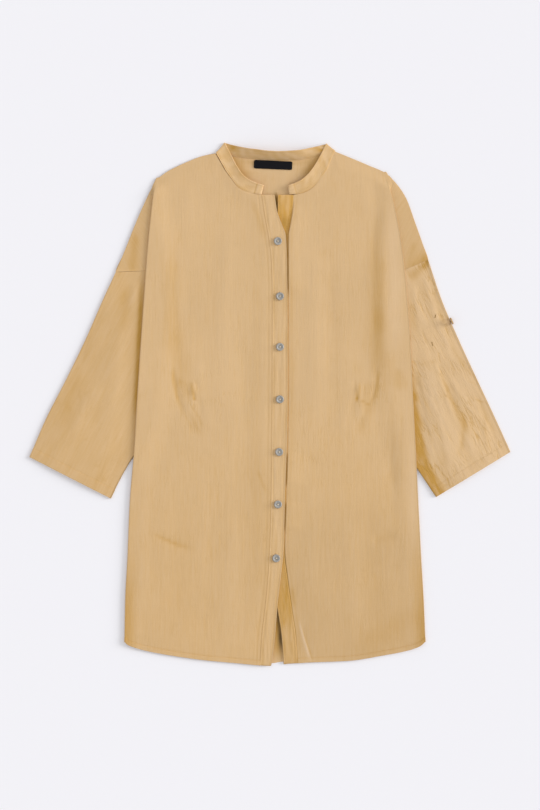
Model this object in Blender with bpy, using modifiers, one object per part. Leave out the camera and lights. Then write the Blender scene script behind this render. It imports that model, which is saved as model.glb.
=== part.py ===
# Tunic top with a band collar, a buttoned front and wide sleeves, laid flat on its back.
# +X is the viewer's right, +Y points to the collar and z = 0 is the surface under the back.
# Sizes below are in millimetres. MM turns them into metres when a mesh is made.

import math
from collections import namedtuple

import bpy
from mathutils import Vector

MM = 0.001

# Cloth and seams
CLOTH = 1.0
BAND_CLOTH = 1.4          # plackets and collar are two layers pressed together
SEAM = 0.3
LAYER_GAP = 0.4
BAND_SEAM = 3 * SEAM      # the curved seams leave room for their straight facets
PLACKET_SEAM = 3 * SEAM
CENTRING = (0.0, -0.1)    # moves the pattern so that the box's middle is the origin

# Heights of the middle of each layer
BACK_Z = CLOTH / 2
LAYER = CLOTH + LAYER_GAP
ON_BACK_Z = BACK_Z + LAYER
SLEEVE_TURN = 0.9
SLEEVE_TOP_Z = BACK_Z + 2 * SLEEVE_TURN
ON_SLEEVE_Z = SLEEVE_TOP_Z + LAYER
SIDE_TURN = 0.8
FRONT_ON_SLEEVE_Z = ON_SLEEVE_Z + 2 * SIDE_TURN
FRONT_Z = 3.2             # the front where it lies loosely on the back
HEM_Z = 2.3
NECK_Z = 3.4
UNDER_PLACKET_Z = 2 * BACK_Z + LAYER_GAP + BAND_CLOTH / 2
OVER_PLACKET_Z = UNDER_PLACKET_Z + BAND_CLOTH + 0.5
OVER_PLACKET_HEM_Z = 2.9

# Widths over which one height turns into another
SIDE_STEP = (-6.0, 34.0)  # the front comes down past the inner edge of what is folded under it
CENTRE_RISE = 40.0
RIM_RISE = 28.0
SHOULDER_ROLL = 6.0       # how far the cloth runs on while the side fold begins
ROLL_SHARE = 0.6          # and at most this share of the way to the silhouette
FOLD_OPENING = (14.0, 34.0)    # below the shoulder, where the slope becomes a fold
UNDERARM_DROP = (33.0, 70.0)   # below the underarm point, where no sleeve lies under the side
NECK_TO_SHOULDER = (78.0, 112.0)   # distances from the middle along the front's upper edge
PLACKET_TO_NECK = (25.0, 60.0)

# Silhouette from the shoulder to the cuff, and the folded side that lies over the sleeve
Outline = namedtuple("Outline", "y left right")
OUTLINE = [
    Outline(365.3, -173.8, 190.9),
    Outline(346.1, -188.3, 207.5),
    Outline(326.9, -198.1, 219.0),
    Outline(294.9, -212.3, 230.7),
    Outline(230.9, -238.2, 253.3),
    Outline(166.9, -267.4, 275.0),
    Outline(102.9, -295.4, 302.4),
    Outline(38.9, -326.6, 332.0),
    Outline(-25.1, -359.2, 361.9),
    Outline(-76.3, -381.2, 384.6),
    Outline(-84.3, -384.6, 387.6),
]
BODY_SIDE = [
    Outline(371.7, -175.0, 181.9),
    Outline(342.9, -185.4, 192.2),
    Outline(318.9, -188.8, 198.6),
    Outline(246.9, -196.0, 211.6),
    Outline(166.9, -201.8, 219.8),
    Outline(86.9, -207.4, 225.4),
    Outline(6.9, -212.6, 229.3),
    Outline(-73.1, -217.2, 233.4),
    Outline(-153.1, -224.0, 237.4),
    Outline(-249.1, -228.2, 242.4),
    Outline(-313.1, -231.6, 246.2),
    Outline(-378.7, -232.8, 249.0),
]

# Lower edge of the front, from side to side
Hem = namedtuple("Hem", "x y")
HEM = [
    Hem(-232.8, -378.7),
    Hem(-228.0, -384.0),
    Hem(-220.6, -387.4),
    Hem(-201.4, -393.3),
    Hem(-163.0, -400.8),
    Hem(-105.4, -409.0),
    Hem(-47.8, -414.4),
    Hem(-9.4, -417.8),
    Hem(2.1, -418.2),
    Hem(21.9, -415.5),
    Hem(67.4, -412.6),
    Hem(125.0, -410.2),
    Hem(182.6, -401.3),
    Hem(221.0, -393.6),
    Hem(240.2, -386.6),
    Hem(249.0, -378.7),
]
LOWEST_Y = min(row.y for row in HEM)
BACK_HEM_RISE = 4.2       # the back shows this far above the front at the open placket

# Both plackets: the over one on the viewer's left front, the under one on the other
Placket = namedtuple("Placket", "y over_seam over_edge under_edge under_seam")
PLACKETS = [
    Placket(334.9, -12.6, 7.5, 12.6, 37.6),
    Placket(309.3, -8.8, 11.4, 12.3, 35.4),
    Placket(288.5, -5.3, 18.7, 9.8, 31.8),
    Placket(269.3, -1.8, 25.4, 5.8, 28.6),
    Placket(230.9, 2.7, 27.2, 4.0, 28.4),
    Placket(166.9, 4.2, 28.2, 4.6, 28.8),
    Placket(6.9, 3.8, 28.3, 4.6, 29.0),
    Placket(-159.5, 2.2, 23.8, 2.0, 24.8),
    Placket(-233.1, 0.0, 21.8, 0.0, 22.6),
    Placket(-281.1, -3.0, 16.8, 4.2, 27.8),
    Placket(-325.9, -7.4, 11.7, 11.7, 34.1),
    Placket(-372.3, -12.6, 8.2, 18.7, 40.5),
    Placket(-418.2, -15.5, 2.1, 21.9, 44.0),
]

# Collar band: its seam edge and its free edge, from the shoulder fold to the front end
Band = namedtuple("Band", "seam_x seam_y seam_z top_x top_y top_z")
BAND_LEFT = [
    Band(-85.4, 401.3, 2.7, -72.0, 417.4, 2.7),
    Band(-77.4, 386.9, 3.0, -63.8, 401.3, 5.0),
    Band(-69.8, 373.3, 3.4, -53.4, 381.3, 7.5),
    Band(-60.6, 360.5, 3.6, -43.0, 366.1, 9.5),
    Band(-48.6, 345.3, 3.8, -31.8, 357.6, 10.5),
    Band(-32.6, 338.2, 4.1, -21.4, 352.8, 11.0),
    Band(-13.3, 335.7, 4.4, -9.8, 349.3, 11.0),
]
BAND_RIGHT = [
    Band(103.7, 404.3, 2.7, 90.1, 415.6, 2.7),
    Band(97.0, 390.1, 3.0, 82.6, 400.5, 5.0),
    Band(91.4, 375.7, 3.4, 72.2, 382.1, 7.0),
    Band(81.8, 362.1, 3.4, 61.0, 367.2, 9.0),
    Band(68.6, 346.1, 3.2, 49.0, 357.3, 10.0),
    Band(50.6, 337.0, 3.0, 38.6, 352.5, 10.0),
    Band(30.6, 335.8, 3.0, 28.3, 348.5, 9.5),
]
BAND_BACK = [
    Band(-85.4, 401.3, 0.7, -72.0, 417.4, 0.7),
    Band(-55.8, 395.7, 0.7, -55.8, 412.6, 4.5),
    Band(-27.0, 392.5, 0.7, -27.0, 407.0, 10.0),
    Band(13.0, 390.4, 0.7, 13.0, 403.0, 12.0),
    Band(41.8, 390.6, 0.7, 41.8, 404.6, 10.5),
    Band(73.8, 396.3, 0.7, 69.0, 410.2, 4.5),
    Band(103.7, 404.3, 0.7, 90.1, 415.6, 0.7),
]

# Depth of the cloth turned under at each side, by height above the underarm point
Depth = namedtuple("Depth", "above depth")
SIDE_DEPTH = [
    Depth(163.0, 40.0),
    Depth(51.0, 30.0),
    Depth(0.0, 19.5),
    Depth(-37.0, 12.0),
    Depth(-77.0, 7.0),
    Depth(-173.0, 5.0),
    Depth(-304.0, 4.0),
]
# The same near the shoulder, by distance below the point where the fold begins
SHOULDER_DEPTH = [
    Depth(-34.0, 0.0),
    Depth(-46.0, 5.0),
    Depth(-70.0, 14.0),
    Depth(-110.0, 26.0),
    Depth(-172.0, 40.0),
]

# What differs between the two sides. sign is +1 for the viewer's right.
Side = namedtuple("Side", "sign key fold_start outer_top drop_outer drop_inner cuff_y underarm")
VIEW_LEFT = Side(-1, "left", (-175.0, 362.5), 352.5, 211.7, 214.9, -84.3,
                 [(-197.4, -60.3), (-221.3, -89.1), (-239.8, -121.1), (-254.2, -150.7)])
VIEW_RIGHT = Side(1, "right", (181.9, 371.7), 365.3, 230.9, 198.9, -76.3,
                  [(214.6, -76.3), (236.5, -105.1), (250.6, -126.0), (265.8, -148.3)])
SHOULDER_LEFT = [(-85.4, 401.3), (-106.4, 396.6), (-121.8, 390.9), (-149.6, 378.1), (-161.3, 371.7),
                 VIEW_LEFT.fold_start]
SHOULDER_RIGHT = [(103.7, 404.3), (121.1, 397.3), (151.7, 384.5), VIEW_RIGHT.fold_start]

# The shortest cloth that is turned under, and how far the sleeve stays outside it
SHORTEST_RETURN = 0.6
ARMHOLE_CLEARANCE = 0.7
DROP_SEAM_GAP = 0.5

# The back's side edge near the underarm, and its armhole
BACK_SIDE_INSET = 0.6
UNDERARM_INSET = 7.0
ARMHOLE_HOLLOW = 2.2
ARMHOLE_CORNER = (3.0, 1.5)
BACK_SIDE_BEND = [(3.0, -24.0), (13.0, -49.0), (22.5, -80.0)]   # outwards and up from the underarm

# Soft creases: a straight line with a half width and a height, negative for a trough
Crease = namedtuple("Crease", "x0 y0 x1 y1 half height")
FRONT_CREASES = [
    Crease(-153.4, 250.0, -153.4, 60.0, 13.0, -0.7),
    Crease(-152.0, 58.0, -131.0, -18.0, 10.0, -1.0),
    Crease(-131.0, -14.0, -104.0, -62.0, 12.0, -0.8),
    Crease(-124.0, 34.0, -119.0, 8.0, 9.0, 1.3),
    Crease(170.6, 326.0, 171.2, 55.0, 13.0, -0.8),
    Crease(170.5, 54.0, 155.0, -6.0, 10.0, -1.0),
    Crease(155.0, -4.0, 126.0, -62.0, 12.0, -0.8),
    Crease(142.0, 32.0, 137.0, 6.0, 9.0, 1.3),
    Crease(214.0, 80.0, 214.0, -180.0, 16.0, 1.0),
    Crease(-189.0, -206.0, -86.0, -235.0, 12.0, -0.8),
    Crease(161.8, -223.5, 206.6, -212.3, 12.0, -0.8),
    Crease(46.0, -336.0, 68.0, -412.0, 9.0, 1.6),
    Crease(-60.0, 300.0, -75.0, -60.0, 20.0, 0.7),
    Crease(90.0, 290.0, 92.0, -90.0, 22.0, 0.7),
    Crease(-60.0, -140.0, -68.0, -400.0, 18.0, 0.8),
    Crease(120.0, -250.0, 132.0, -400.0, 18.0, 0.8),
]
SLEEVE_CREASES = [
    Crease(262.0, 120.0, 318.0, 40.0, 9.0, 1.4),
    Crease(262.0, 70.0, 345.0, -30.0, 10.0, -1.0),
    Crease(250.0, 60.0, 300.0, -60.0, 9.0, 1.5),
    Crease(242.0, 20.0, 268.0, -90.0, 8.0, 1.7),
    Crease(250.0, 20.0, 284.0, -110.0, 8.0, -1.1),
    Crease(300.0, 10.0, 336.0, -90.0, 11.0, 1.2),
    Crease(-250.0, 150.0, -310.0, 20.0, 16.0, 0.7),
    Crease(-240.0, 60.0, -262.0, -80.0, 14.0, 0.7),
]
SLEEVE_PUFF = 2.2         # how far the sleeve's upper layer rises above its lower one
SLEEVE_PUFF_WIDTH = 48.0

# Buttons, label
BUTTON_RADIUS = 6.35
BUTTON_THICKNESS = 2.3
BUTTON_HEIGHTS = [260.7, 172.6, 91.7, 7.9, -76.2, -159.9, -245.9]
BUTTON_HOLE_RADIUS = 0.8
BUTTON_HOLE_SPREAD = 1.35
SLEEVE_BUTTON_Y = 133.3
SLEEVE_BUTTON_Z = 6.2
SLEEVE_BUTTON_LEAN = 65.0
LABEL_SIZE = (63.0, 13.0, 1.0)
LABEL_PLACE = (5.1, 382.8)
LABEL_TURN = -3.0

# Mesh counts
NECK_COLUMNS = 9
SHOULDER_COLUMNS = 6
MAIN_COLUMNS = NECK_COLUMNS + SHOULDER_COLUMNS
TURN_STEPS = 5
RETURN_STEPS = 2
LOWER_COLUMNS = 4
ROWS_BELOW_DROP = 20
ROWS_ABOVE_DROP = 9
SLEEVE_ROWS = 13
SLEEVE_COLUMNS = 12
DROP_SEAM_COLUMNS = 4
BACK_SHOULDER_COLUMNS = 5
BACK_COLUMNS = 2 * (NECK_COLUMNS + BACK_SHOULDER_COLUMNS)
BACK_ROWS = 20
PLACKET_ROWS = 30

# Colours, roughness and metallic value
COTTON = ((0.64, 0.43, 0.22), 0.85, 0.0)
PEARL = ((0.38, 0.35, 0.31), 0.3, 0.0)
DARK_TAPE = ((0.02, 0.022, 0.035), 0.6, 0.0)


def smooth(value, start, end):
    share = min(max((value - start) / (end - start), 0.0), 1.0)
    return share * share * (3 - 2 * share)


def mix(first, second, share):
    return first * (1 - share) + second * share


# Reads a smooth curve through values at rising keys, with no overshoot between them.
def smooth_read(keys, values, at):
    at = min(max(at, keys[0]), keys[-1])
    last = len(keys) - 2
    i = next((k for k in range(last) if at <= keys[k + 1]), last)
    slopes = [(values[k + 1] - values[k]) / (keys[k + 1] - keys[k]) for k in range(len(keys) - 1)]

    def slope_at(k):
        if k == 0 or k == len(keys) - 1:
            return slopes[min(k, last)]
        before, after = slopes[k - 1], slopes[k]
        return 2 * before * after / (before + after) if before * after > 0 else 0.0

    width = keys[i + 1] - keys[i]
    t = (at - keys[i]) / width
    return ((1 + 2 * t) * (1 - t) ** 2 * values[i] + t * (1 - t) ** 2 * width * slope_at(i)
            + t * t * (3 - 2 * t) * values[i + 1] + t * t * (t - 1) * width * slope_at(i + 1))


def read(table, column, at):
    rows = sorted(table, key=lambda row: row[0])
    return smooth_read([row[0] for row in rows], [getattr(row, column) for row in rows], at)


# The point at a share of the length, seen from above, of a path through the given points.
def along(points, share):
    lengths = [0.0]
    for a, b in zip(points, points[1:]):
        lengths.append(lengths[-1] + math.dist(a[:2], b[:2]))
    at = share * lengths[-1]
    return Vector([smooth_read(lengths, values, at) for values in zip(*points)])


# The same for paths that meet at corners. ends holds the share at which each path ends.
def along_each(paths, ends, share):
    start = 0.0
    for path, end in zip(paths, ends):
        if share <= end or path is paths[-1]:
            return along(path, (share - start) / (end - start))
        start = end


# The point of a sheet stretched between four edges. u runs from inner to outer, v from bottom to top.
def patch(bottom, top, inner, outer, u, v):
    corners = mix(mix(bottom(0), bottom(1), u), mix(top(0), top(1), u), v)
    return mix(bottom(u), top(u), v) + mix(inner(v), outer(v), u) - corners


def crease_height(creases, x, y):
    height = 0.0
    for crease in creases:
        start, end = Vector((crease.x0, crease.y0)), Vector((crease.x1, crease.y1))
        line = end - start
        share = (Vector((x, y)) - start).dot(line) / line.length_squared
        share = min(max(share, 0.0), 1.0)
        distance = (Vector((x, y)) - start - line * share).length
        height += crease.height * math.exp(-(distance / crease.half) ** 2)
    return height


def material(name, finish):
    colour, roughness, metallic = finish
    made = bpy.data.materials.new(name)
    made.use_nodes = True
    shader = made.node_tree.nodes["Principled BSDF"]
    shader.inputs["Base Color"].default_value = (*colour, 1.0)
    shader.inputs["Roughness"].default_value = roughness
    shader.inputs["Metallic"].default_value = metallic
    return made


# Turns rows of points into an open surface, closes it into a ring of points if asked,
# and gives it a wall. keep(row, column) says which faces exist.
def cloth_object(name, rows, wall, finish, ring=False, keep=None):
    columns = len(rows[0])
    spans = columns if ring else columns - 1
    faces = [(r * columns + c, r * columns + (c + 1) % columns,
              (r + 1) * columns + (c + 1) % columns, (r + 1) * columns + c)
             for r in range(len(rows) - 1) for c in range(spans) if keep is None or keep(r, c)]
    used = sorted({i for face in faces for i in face})
    place = {old: new for new, old in enumerate(used)}
    points = [point for row in rows for point in row]
    mesh = bpy.data.meshes.new(name)
    mesh.from_pydata([Vector(points[i]) * MM for i in used], [],
                     [[place[i] for i in face] for face in faces])
    mesh.materials.append(material(name, finish))
    mesh.shade_smooth()
    made = bpy.data.objects.new(name, mesh)
    shell = made.modifiers.new("wall", "SOLIDIFY")
    shell.thickness = wall * MM
    shell.offset = 0.0
    return place_object(made)


def move_to(collection, made):
    for holder in list(made.users_collection):
        holder.objects.unlink(made)
    collection.objects.link(made)


def place_object(made):
    move_to(tunic, made)
    made.parent = pattern
    return made


def hem_y(x):
    return read(HEM, "y", x)


def outline_x(side, y):
    return read(OUTLINE, side.key, y)


def side_x(side, y):
    return read(BODY_SIDE, side.key, y)


def side_depth(side, y):
    from_underarm = read(SIDE_DEPTH, "depth", y - side.underarm[0][1])
    from_shoulder = read(SHOULDER_DEPTH, "depth", y - side.fold_start[1])
    return min(from_underarm, from_shoulder)


# Height of the layer that is turned under: on the sleeve, then on the back below the underarm.
def return_z(side, y):
    below = smooth(side.underarm[0][1] - y, *UNDERARM_DROP)
    return mix(ON_SLEEVE_Z, ON_BACK_Z, below)


def centre_line(side, y):
    column = "under_seam" if side.sign > 0 else "over_seam"
    return read(PLACKETS, column, y)


def centre_z(side, y):
    if side.sign > 0:
        return UNDER_PLACKET_Z
    return mix(OVER_PLACKET_Z, OVER_PLACKET_HEM_Z, smooth(-y, 310.0, 410.0))


def neckline(side):
    band = BAND_RIGHT if side.sign > 0 else BAND_LEFT
    points = [(row.seam_x, row.seam_y) for row in reversed(band)]
    points[0] = (centre_line(side, PLACKETS[0].y), PLACKETS[0].y)
    return points


# The four edges of a front panel's upper layer, each as a function of a share from 0 to 1.
def front_edges(side):
    hem_end = BODY_SIDE[-1]
    corner_x = getattr(hem_end, side.key)
    inset = side.sign * (CLOTH / 2 + SIDE_TURN)
    seam_start = centre_line(side, LOWEST_Y)
    neck = neckline(side)
    shoulder = list(SHOULDER_RIGHT if side.sign > 0 else SHOULDER_LEFT)
    shoulder[-1] = (shoulder[-1][0] - inset, shoulder[-1][1])

    def hem(u):
        x = mix(seam_start, corner_x - inset, u)
        return Vector((x, hem_y(x)))

    def upper(u):
        return along_each([neck, shoulder], [NECK_COLUMNS / MAIN_COLUMNS, 1.0], u)

    def centre(v):
        y = mix(hem_y(seam_start), PLACKETS[0].y, v)
        return Vector((centre_line(side, y), y))

    def outer(v):
        y = mix(hem_y(corner_x - inset), side.fold_start[1], v)
        return Vector((side_x(side, y) - inset, y))

    return hem, upper, centre, outer


def front_height(side, point, edges, u, v):
    hem, top, centre, outer = edges
    to_side = (outer(v) - point).length
    z = FRONT_Z + crease_height(FRONT_CREASES, point.x, point.y)
    z = mix(HEM_Z, z, smooth((point - hem(u)).length, 0.0, RIM_RISE))
    z = mix(centre_z(side, point.y), z, smooth((point - centre(v)).length, 0.0, CENTRE_RISE))
    fold = return_z(side, point.y) + 2 * SIDE_TURN
    depth = side_depth(side, point.y)
    z = mix(fold, z, smooth(to_side, max(depth + SIDE_STEP[0], 0.0), depth + SIDE_STEP[1]))
    rim = mix(centre_z(side, point.y), NECK_Z, smooth(abs(point.x), *PLACKET_TO_NECK))
    rim = mix(rim, ON_BACK_Z, smooth(abs(point.x), *NECK_TO_SHOULDER))
    z = mix(rim, z, smooth((top(u) - point).length, 0.0, RIM_RISE))
    return max(z, ON_BACK_Z)


# Where the side turns under: a half turn, a flat return and, above the sleeve's seam,
# a second half turn and a lower layer that runs out to the silhouette.
def side_fold(side, start, with_lower):
    y_row = start.y
    top_z, edge_x = start.z, start.x + side.sign * SIDE_TURN
    low_z = mix(ON_BACK_Z, SLEEVE_TOP_Z, smooth(side.fold_start[1] - y_row, 0.0, RIM_RISE))
    flat_z = return_z(side, y_row)
    if with_lower:
        flat_z = mix(low_z, top_z, LAYER / (FRONT_ON_SLEEVE_Z - SLEEVE_TOP_Z))
    first, second = (top_z - flat_z) / 2, max((flat_z - low_z) / 2, 0.0)
    run = max(side_depth(side, y_row) - first - second, SHORTEST_RETURN)
    points = []
    for k in range(1, TURN_STEPS + 1):
        angle = math.pi * (0.5 - k / TURN_STEPS)
        points.append((edge_x - side.sign * (SIDE_TURN - first * math.cos(angle)),
                       flat_z + first + first * math.sin(angle)))
    turn_x = edge_x - side.sign * SIDE_TURN
    for k in range(1, RETURN_STEPS + 1):
        points.append((turn_x - side.sign * run * k / RETURN_STEPS, flat_z))
    inner_x = turn_x - side.sign * run
    if not with_lower:
        spare = TURN_STEPS + LOWER_COLUMNS
        return [(x, y_row, z) for x, z in points] + [(inner_x, y_row, flat_z)] * spare
    for k in range(1, TURN_STEPS + 1):
        angle = math.pi * (0.5 - k / TURN_STEPS)
        points.append((inner_x - side.sign * second * math.cos(angle),
                       low_z + second + second * math.sin(angle)))
    # Near the shoulder the fold opens into a gentle slope.
    folded = smooth(side.fold_start[1] - y_row, *FOLD_OPENING)
    outer_y = mix(side.drop_outer, side.outer_top,
                  (y_row - side.drop_inner) / (side.fold_start[1] - side.drop_inner))
    outer_x = outline_x(side, outer_y)
    advance = min(SHOULDER_ROLL, ROLL_SHARE * abs(outer_x - start.x))
    eased = []
    for k, (x, z) in enumerate(points, 1):
        share = k / len(points)
        slope = (start.x + side.sign * advance * share, mix(top_z, low_z, smooth(share, 0.0, 1.0)))
        eased.append((mix(slope[0], x, folded), mix(slope[1], z, folded)))
    last_x = eased[-1][0]
    for k in range(1, LOWER_COLUMNS + 1):
        x = mix(last_x, outer_x, k / LOWER_COLUMNS)
        eased.append((x, mix(low_z, ON_BACK_Z, smooth(abs(x - last_x), 0.5 * abs(outer_x - last_x),
                                                      abs(outer_x - last_x) + 0.01))))
    seam_start = min(last_x * side.sign, inner_x * side.sign) * side.sign
    placed = []
    for k, (x, z) in enumerate(eased):
        lower = k >= TURN_STEPS + RETURN_STEPS
        share = max((x - seam_start) / (outer_x - seam_start), 0.0) if lower else 0.0
        placed.append((x, mix(y_row, outer_y, share), z))
    return placed


def drop_share(side):
    bottom = front_edges(side)[3](0).y
    return (side.drop_inner - bottom) / (side.fold_start[1] - bottom)


def front_panel(name, side):
    edges = front_edges(side)
    drop = drop_share(side)
    shares = [drop * k / ROWS_BELOW_DROP for k in range(ROWS_BELOW_DROP)]
    shares += [drop + (1 - drop) * (k / ROWS_ABOVE_DROP) ** 0.8 for k in range(ROWS_ABOVE_DROP + 1)]
    rows = []
    for r, v in enumerate(shares):
        row = []
        for k in range(MAIN_COLUMNS + 1):
            u = k / MAIN_COLUMNS
            point = patch(*edges, u, v)
            gap = Vector((side.sign * PLACKET_SEAM if k == 0 else 0.0, 0.0))
            row.append(Vector((*(point + gap), front_height(side, point, edges, u, v))))
        row += side_fold(side, row[-1], r >= ROWS_BELOW_DROP)
        rows.append(row)
    lower_start = MAIN_COLUMNS + TURN_STEPS + RETURN_STEPS

    def keep(r, c):
        return r >= ROWS_BELOW_DROP or c < lower_start

    return cloth_object(name, rows, CLOTH, COTTON, keep=keep)


# The back lies flat. Its armhole runs from the drop of the shoulder to the underarm.
def back_panel():
    def side_path(side):
        inset = side.sign * BACK_SIDE_INSET
        edge_x = getattr(BODY_SIDE[-1], side.key) - inset
        under_x, under_y = side.underarm[0]
        drop_x = outline_x(side, side.drop_outer)
        path = [(edge_x, BODY_SIDE[-1].y)]
        path += [(side_x(side, y) - inset, y) for y in (-313.1, -249.1, -190.0)]
        path += [(under_x + side.sign * out, under_y + up) for out, up in reversed(BACK_SIDE_BEND)]
        path += [(under_x - side.sign * UNDERARM_INSET, under_y),
                 (mix(under_x, drop_x, 0.5) - side.sign * ARMHOLE_HOLLOW,
                  mix(under_y, side.drop_outer, 0.5)),
                 (drop_x - side.sign * ARMHOLE_CORNER[0], side.drop_outer - ARMHOLE_CORNER[1]),
                 (drop_x, side.drop_outer)]
        steps = [mix(side.drop_outer, side.outer_top, k / 5) for k in range(1, 6)]
        return path + [(outline_x(side, y), y) for y in steps]

    left, right = side_path(VIEW_LEFT), side_path(VIEW_RIGHT)
    neck = [(row.seam_x, row.seam_y) for row in BAND_BACK]
    upper = [[left[-1]] + SHOULDER_LEFT[::-1], neck, SHOULDER_RIGHT + [right[-1]]]
    corner = BACK_SHOULDER_COLUMNS / BACK_COLUMNS

    def hem(u):
        x = mix(left[0][0], right[0][0], u)
        rise = BACK_HEM_RISE * (1 - (2 * u - 1) ** 4)
        return Vector((x, hem_y(x) + rise if 0 < u < 1 else left[0][1]))

    rows = []
    for r in range(BACK_ROWS + 1):
        v = r / BACK_ROWS
        row = [patch(hem, lambda u: along_each(upper, [corner, 1 - corner, 1.0], u),
                     lambda w: along(left, w), lambda w: along(right, w), k / BACK_COLUMNS, v)
               for k in range(BACK_COLUMNS + 1)]
        rows.append([(point.x, point.y, BACK_Z) for point in row])
    return cloth_object("back_panel", rows, CLOTH, COTTON)


def inward_normal(path, share, toward):
    step = 0.01
    tangent = path(min(share + step, 1.0)) - path(max(share - step, 0.0))
    normal = Vector((-tangent.y, tangent.x)).normalized()
    return normal if normal.dot(toward) > 0 else -normal


# A flattened tube: the upper layer, a fold along the underarm, the lower layer and a fold overarm.
def sleeve(name, side):
    reach = CLOTH / 2 + SLEEVE_TURN
    body_ward = Vector((-side.sign, -0.4))
    start_y = side.drop_outer - 2 * SEAM
    underarm = [(side.underarm[0][0] + side.sign * 2 * SEAM, side.underarm[0][1])] + side.underarm[1:]

    def overarm(v):
        y = mix(side.cuff_y, start_y, v)
        return Vector((outline_x(side, y), y))

    def under(v):
        return along(underarm, 1 - v)

    def over_in(v):
        return overarm(v) + inward_normal(overarm, v, body_ward) * reach

    def under_in(v):
        return under(v) + inward_normal(under, v, -body_ward) * reach

    def cuff(u):
        return mix(over_in(0), under_in(0), u)

    inner_y = side.drop_inner - DROP_SEAM_GAP
    levels = [mix(inner_y, side.underarm[0][1], share) for share in (0.35, 0.65, 0.88)]
    armhole = [(side_x(side, y) - side.sign * (side_depth(side, y) - ARMHOLE_CLEARANCE), y)
               for y in [inner_y] + levels]
    drop_seam = [tuple(over_in(1)), armhole[0]]
    armhole.append(tuple(under_in(1)))

    def upper_edge(u):
        return along_each([drop_seam, armhole], [DROP_SEAM_COLUMNS / SLEEVE_COLUMNS, 1.0], u)

    def lower_edge(u):
        return mix(over_in(1), under_in(1), u)

    def puff(point, u, v):
        clear = smooth(side.sign * (point.x - side_x(side, point.y)), 4.0, SLEEVE_PUFF_WIDTH)
        ends = smooth(min(u, 1 - u), 0.0, 0.22) * smooth(1 - v, 0.0, 0.2)
        rise = SLEEVE_PUFF + crease_height(SLEEVE_CREASES, point.x, point.y)
        return max(rise, 0.0) * clear * ends

    def turn(path, v, toward, from_top):
        edge, normal = path(v), inward_normal(path, v, toward)
        points = []
        for k in range(1, TURN_STEPS):
            angle = math.pi * (0.5 - k / TURN_STEPS) * (1 if from_top else -1)
            place = edge + normal * (reach - SLEEVE_TURN * math.cos(angle))
            points.append((*place, BACK_Z + SLEEVE_TURN * (1 + math.sin(angle))))
        return points

    rows = []
    for r in range(SLEEVE_ROWS + 1):
        v = r / SLEEVE_ROWS
        row = []
        for k in range(SLEEVE_COLUMNS + 1):
            u = k / SLEEVE_COLUMNS
            point = patch(cuff, upper_edge, over_in, under_in, u, v)
            row.append((*point, SLEEVE_TOP_Z + puff(point, u, v)))
        row += turn(under, v, -body_ward, True)
        for k in range(SLEEVE_COLUMNS, -1, -2):
            u = k / SLEEVE_COLUMNS
            row.append((*patch(cuff, lower_edge, over_in, under_in, u, v), BACK_Z))
        row += turn(overarm, v, body_ward, False)
        rows.append(row)
    return cloth_object(name, rows, CLOTH, COTTON, ring=True)


def placket(name, seam, edge, level):
    rows = []
    for r in range(PLACKET_ROWS + 1):
        v = r / PLACKET_ROWS
        y_row = mix(LOWEST_Y, PLACKETS[0].y, v)
        seam_x, edge_x = read(PLACKETS, seam, y_row), read(PLACKETS, edge, y_row)
        seam_x += math.copysign(SEAM / 2, edge_x - seam_x)
        row = []
        for share in (0.0, 0.33, 0.67, 1.0):
            x = mix(seam_x, edge_x, share)
            y = y_row + (hem_y(x) - LOWEST_Y) * smooth(1 - v, 0.8, 1.0)
            row.append((x, y, level(y)))
        rows.append(row)
    return cloth_object(name, rows, BAND_CLOTH, COTTON)


# The collar is one strip: front end, shoulder fold, back, shoulder fold, front end.
def collar_band():
    def station(seam, top):
        start = seam + (top - seam).normalized() * BAND_SEAM
        return [start + (top - start) * k / 3 for k in range(4)]

    def stretch(band, steps, backwards=False):
        rows = list(reversed(band)) if backwards else band
        seams = [row[:3] for row in rows]
        tops = [row[3:] for row in rows]
        return [station(along(seams, k / steps), along(tops, k / steps)) for k in range(steps + 1)]

    def fold(front_row, back_row, outward):
        seam_front, top_front = Vector(front_row[:3]), Vector(front_row[3:])
        radius = (front_row.seam_z - back_row.seam_z) / 2
        made = []
        for k in range(1, TURN_STEPS):
            angle = math.pi * (0.5 - k / TURN_STEPS)
            lift = Vector((0, 0, radius * (math.sin(angle) - 1)))
            move = outward * radius * math.cos(angle) + lift
            made.append(station(seam_front + move, top_front + move))
        return made

    def outward_of(row, sign):
        line = Vector((row.top_x - row.seam_x, row.top_y - row.seam_y))
        normal = Vector((-line.y, line.x)).normalized()
        normal = normal if normal.x * sign > 0 else -normal
        return Vector((normal.x, normal.y, 0.0))

    rows = stretch(BAND_LEFT, NECK_COLUMNS, backwards=True)
    rows += fold(BAND_LEFT[0], BAND_BACK[0], outward_of(BAND_LEFT[0], -1))
    rows += stretch(BAND_BACK, 2 * NECK_COLUMNS)
    rows += list(reversed(fold(BAND_RIGHT[0], BAND_BACK[-1], outward_of(BAND_RIGHT[0], 1))))
    rows += stretch(BAND_RIGHT, NECK_COLUMNS)
    return cloth_object("collar_band", rows, BAND_CLOTH, COTTON)


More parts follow.
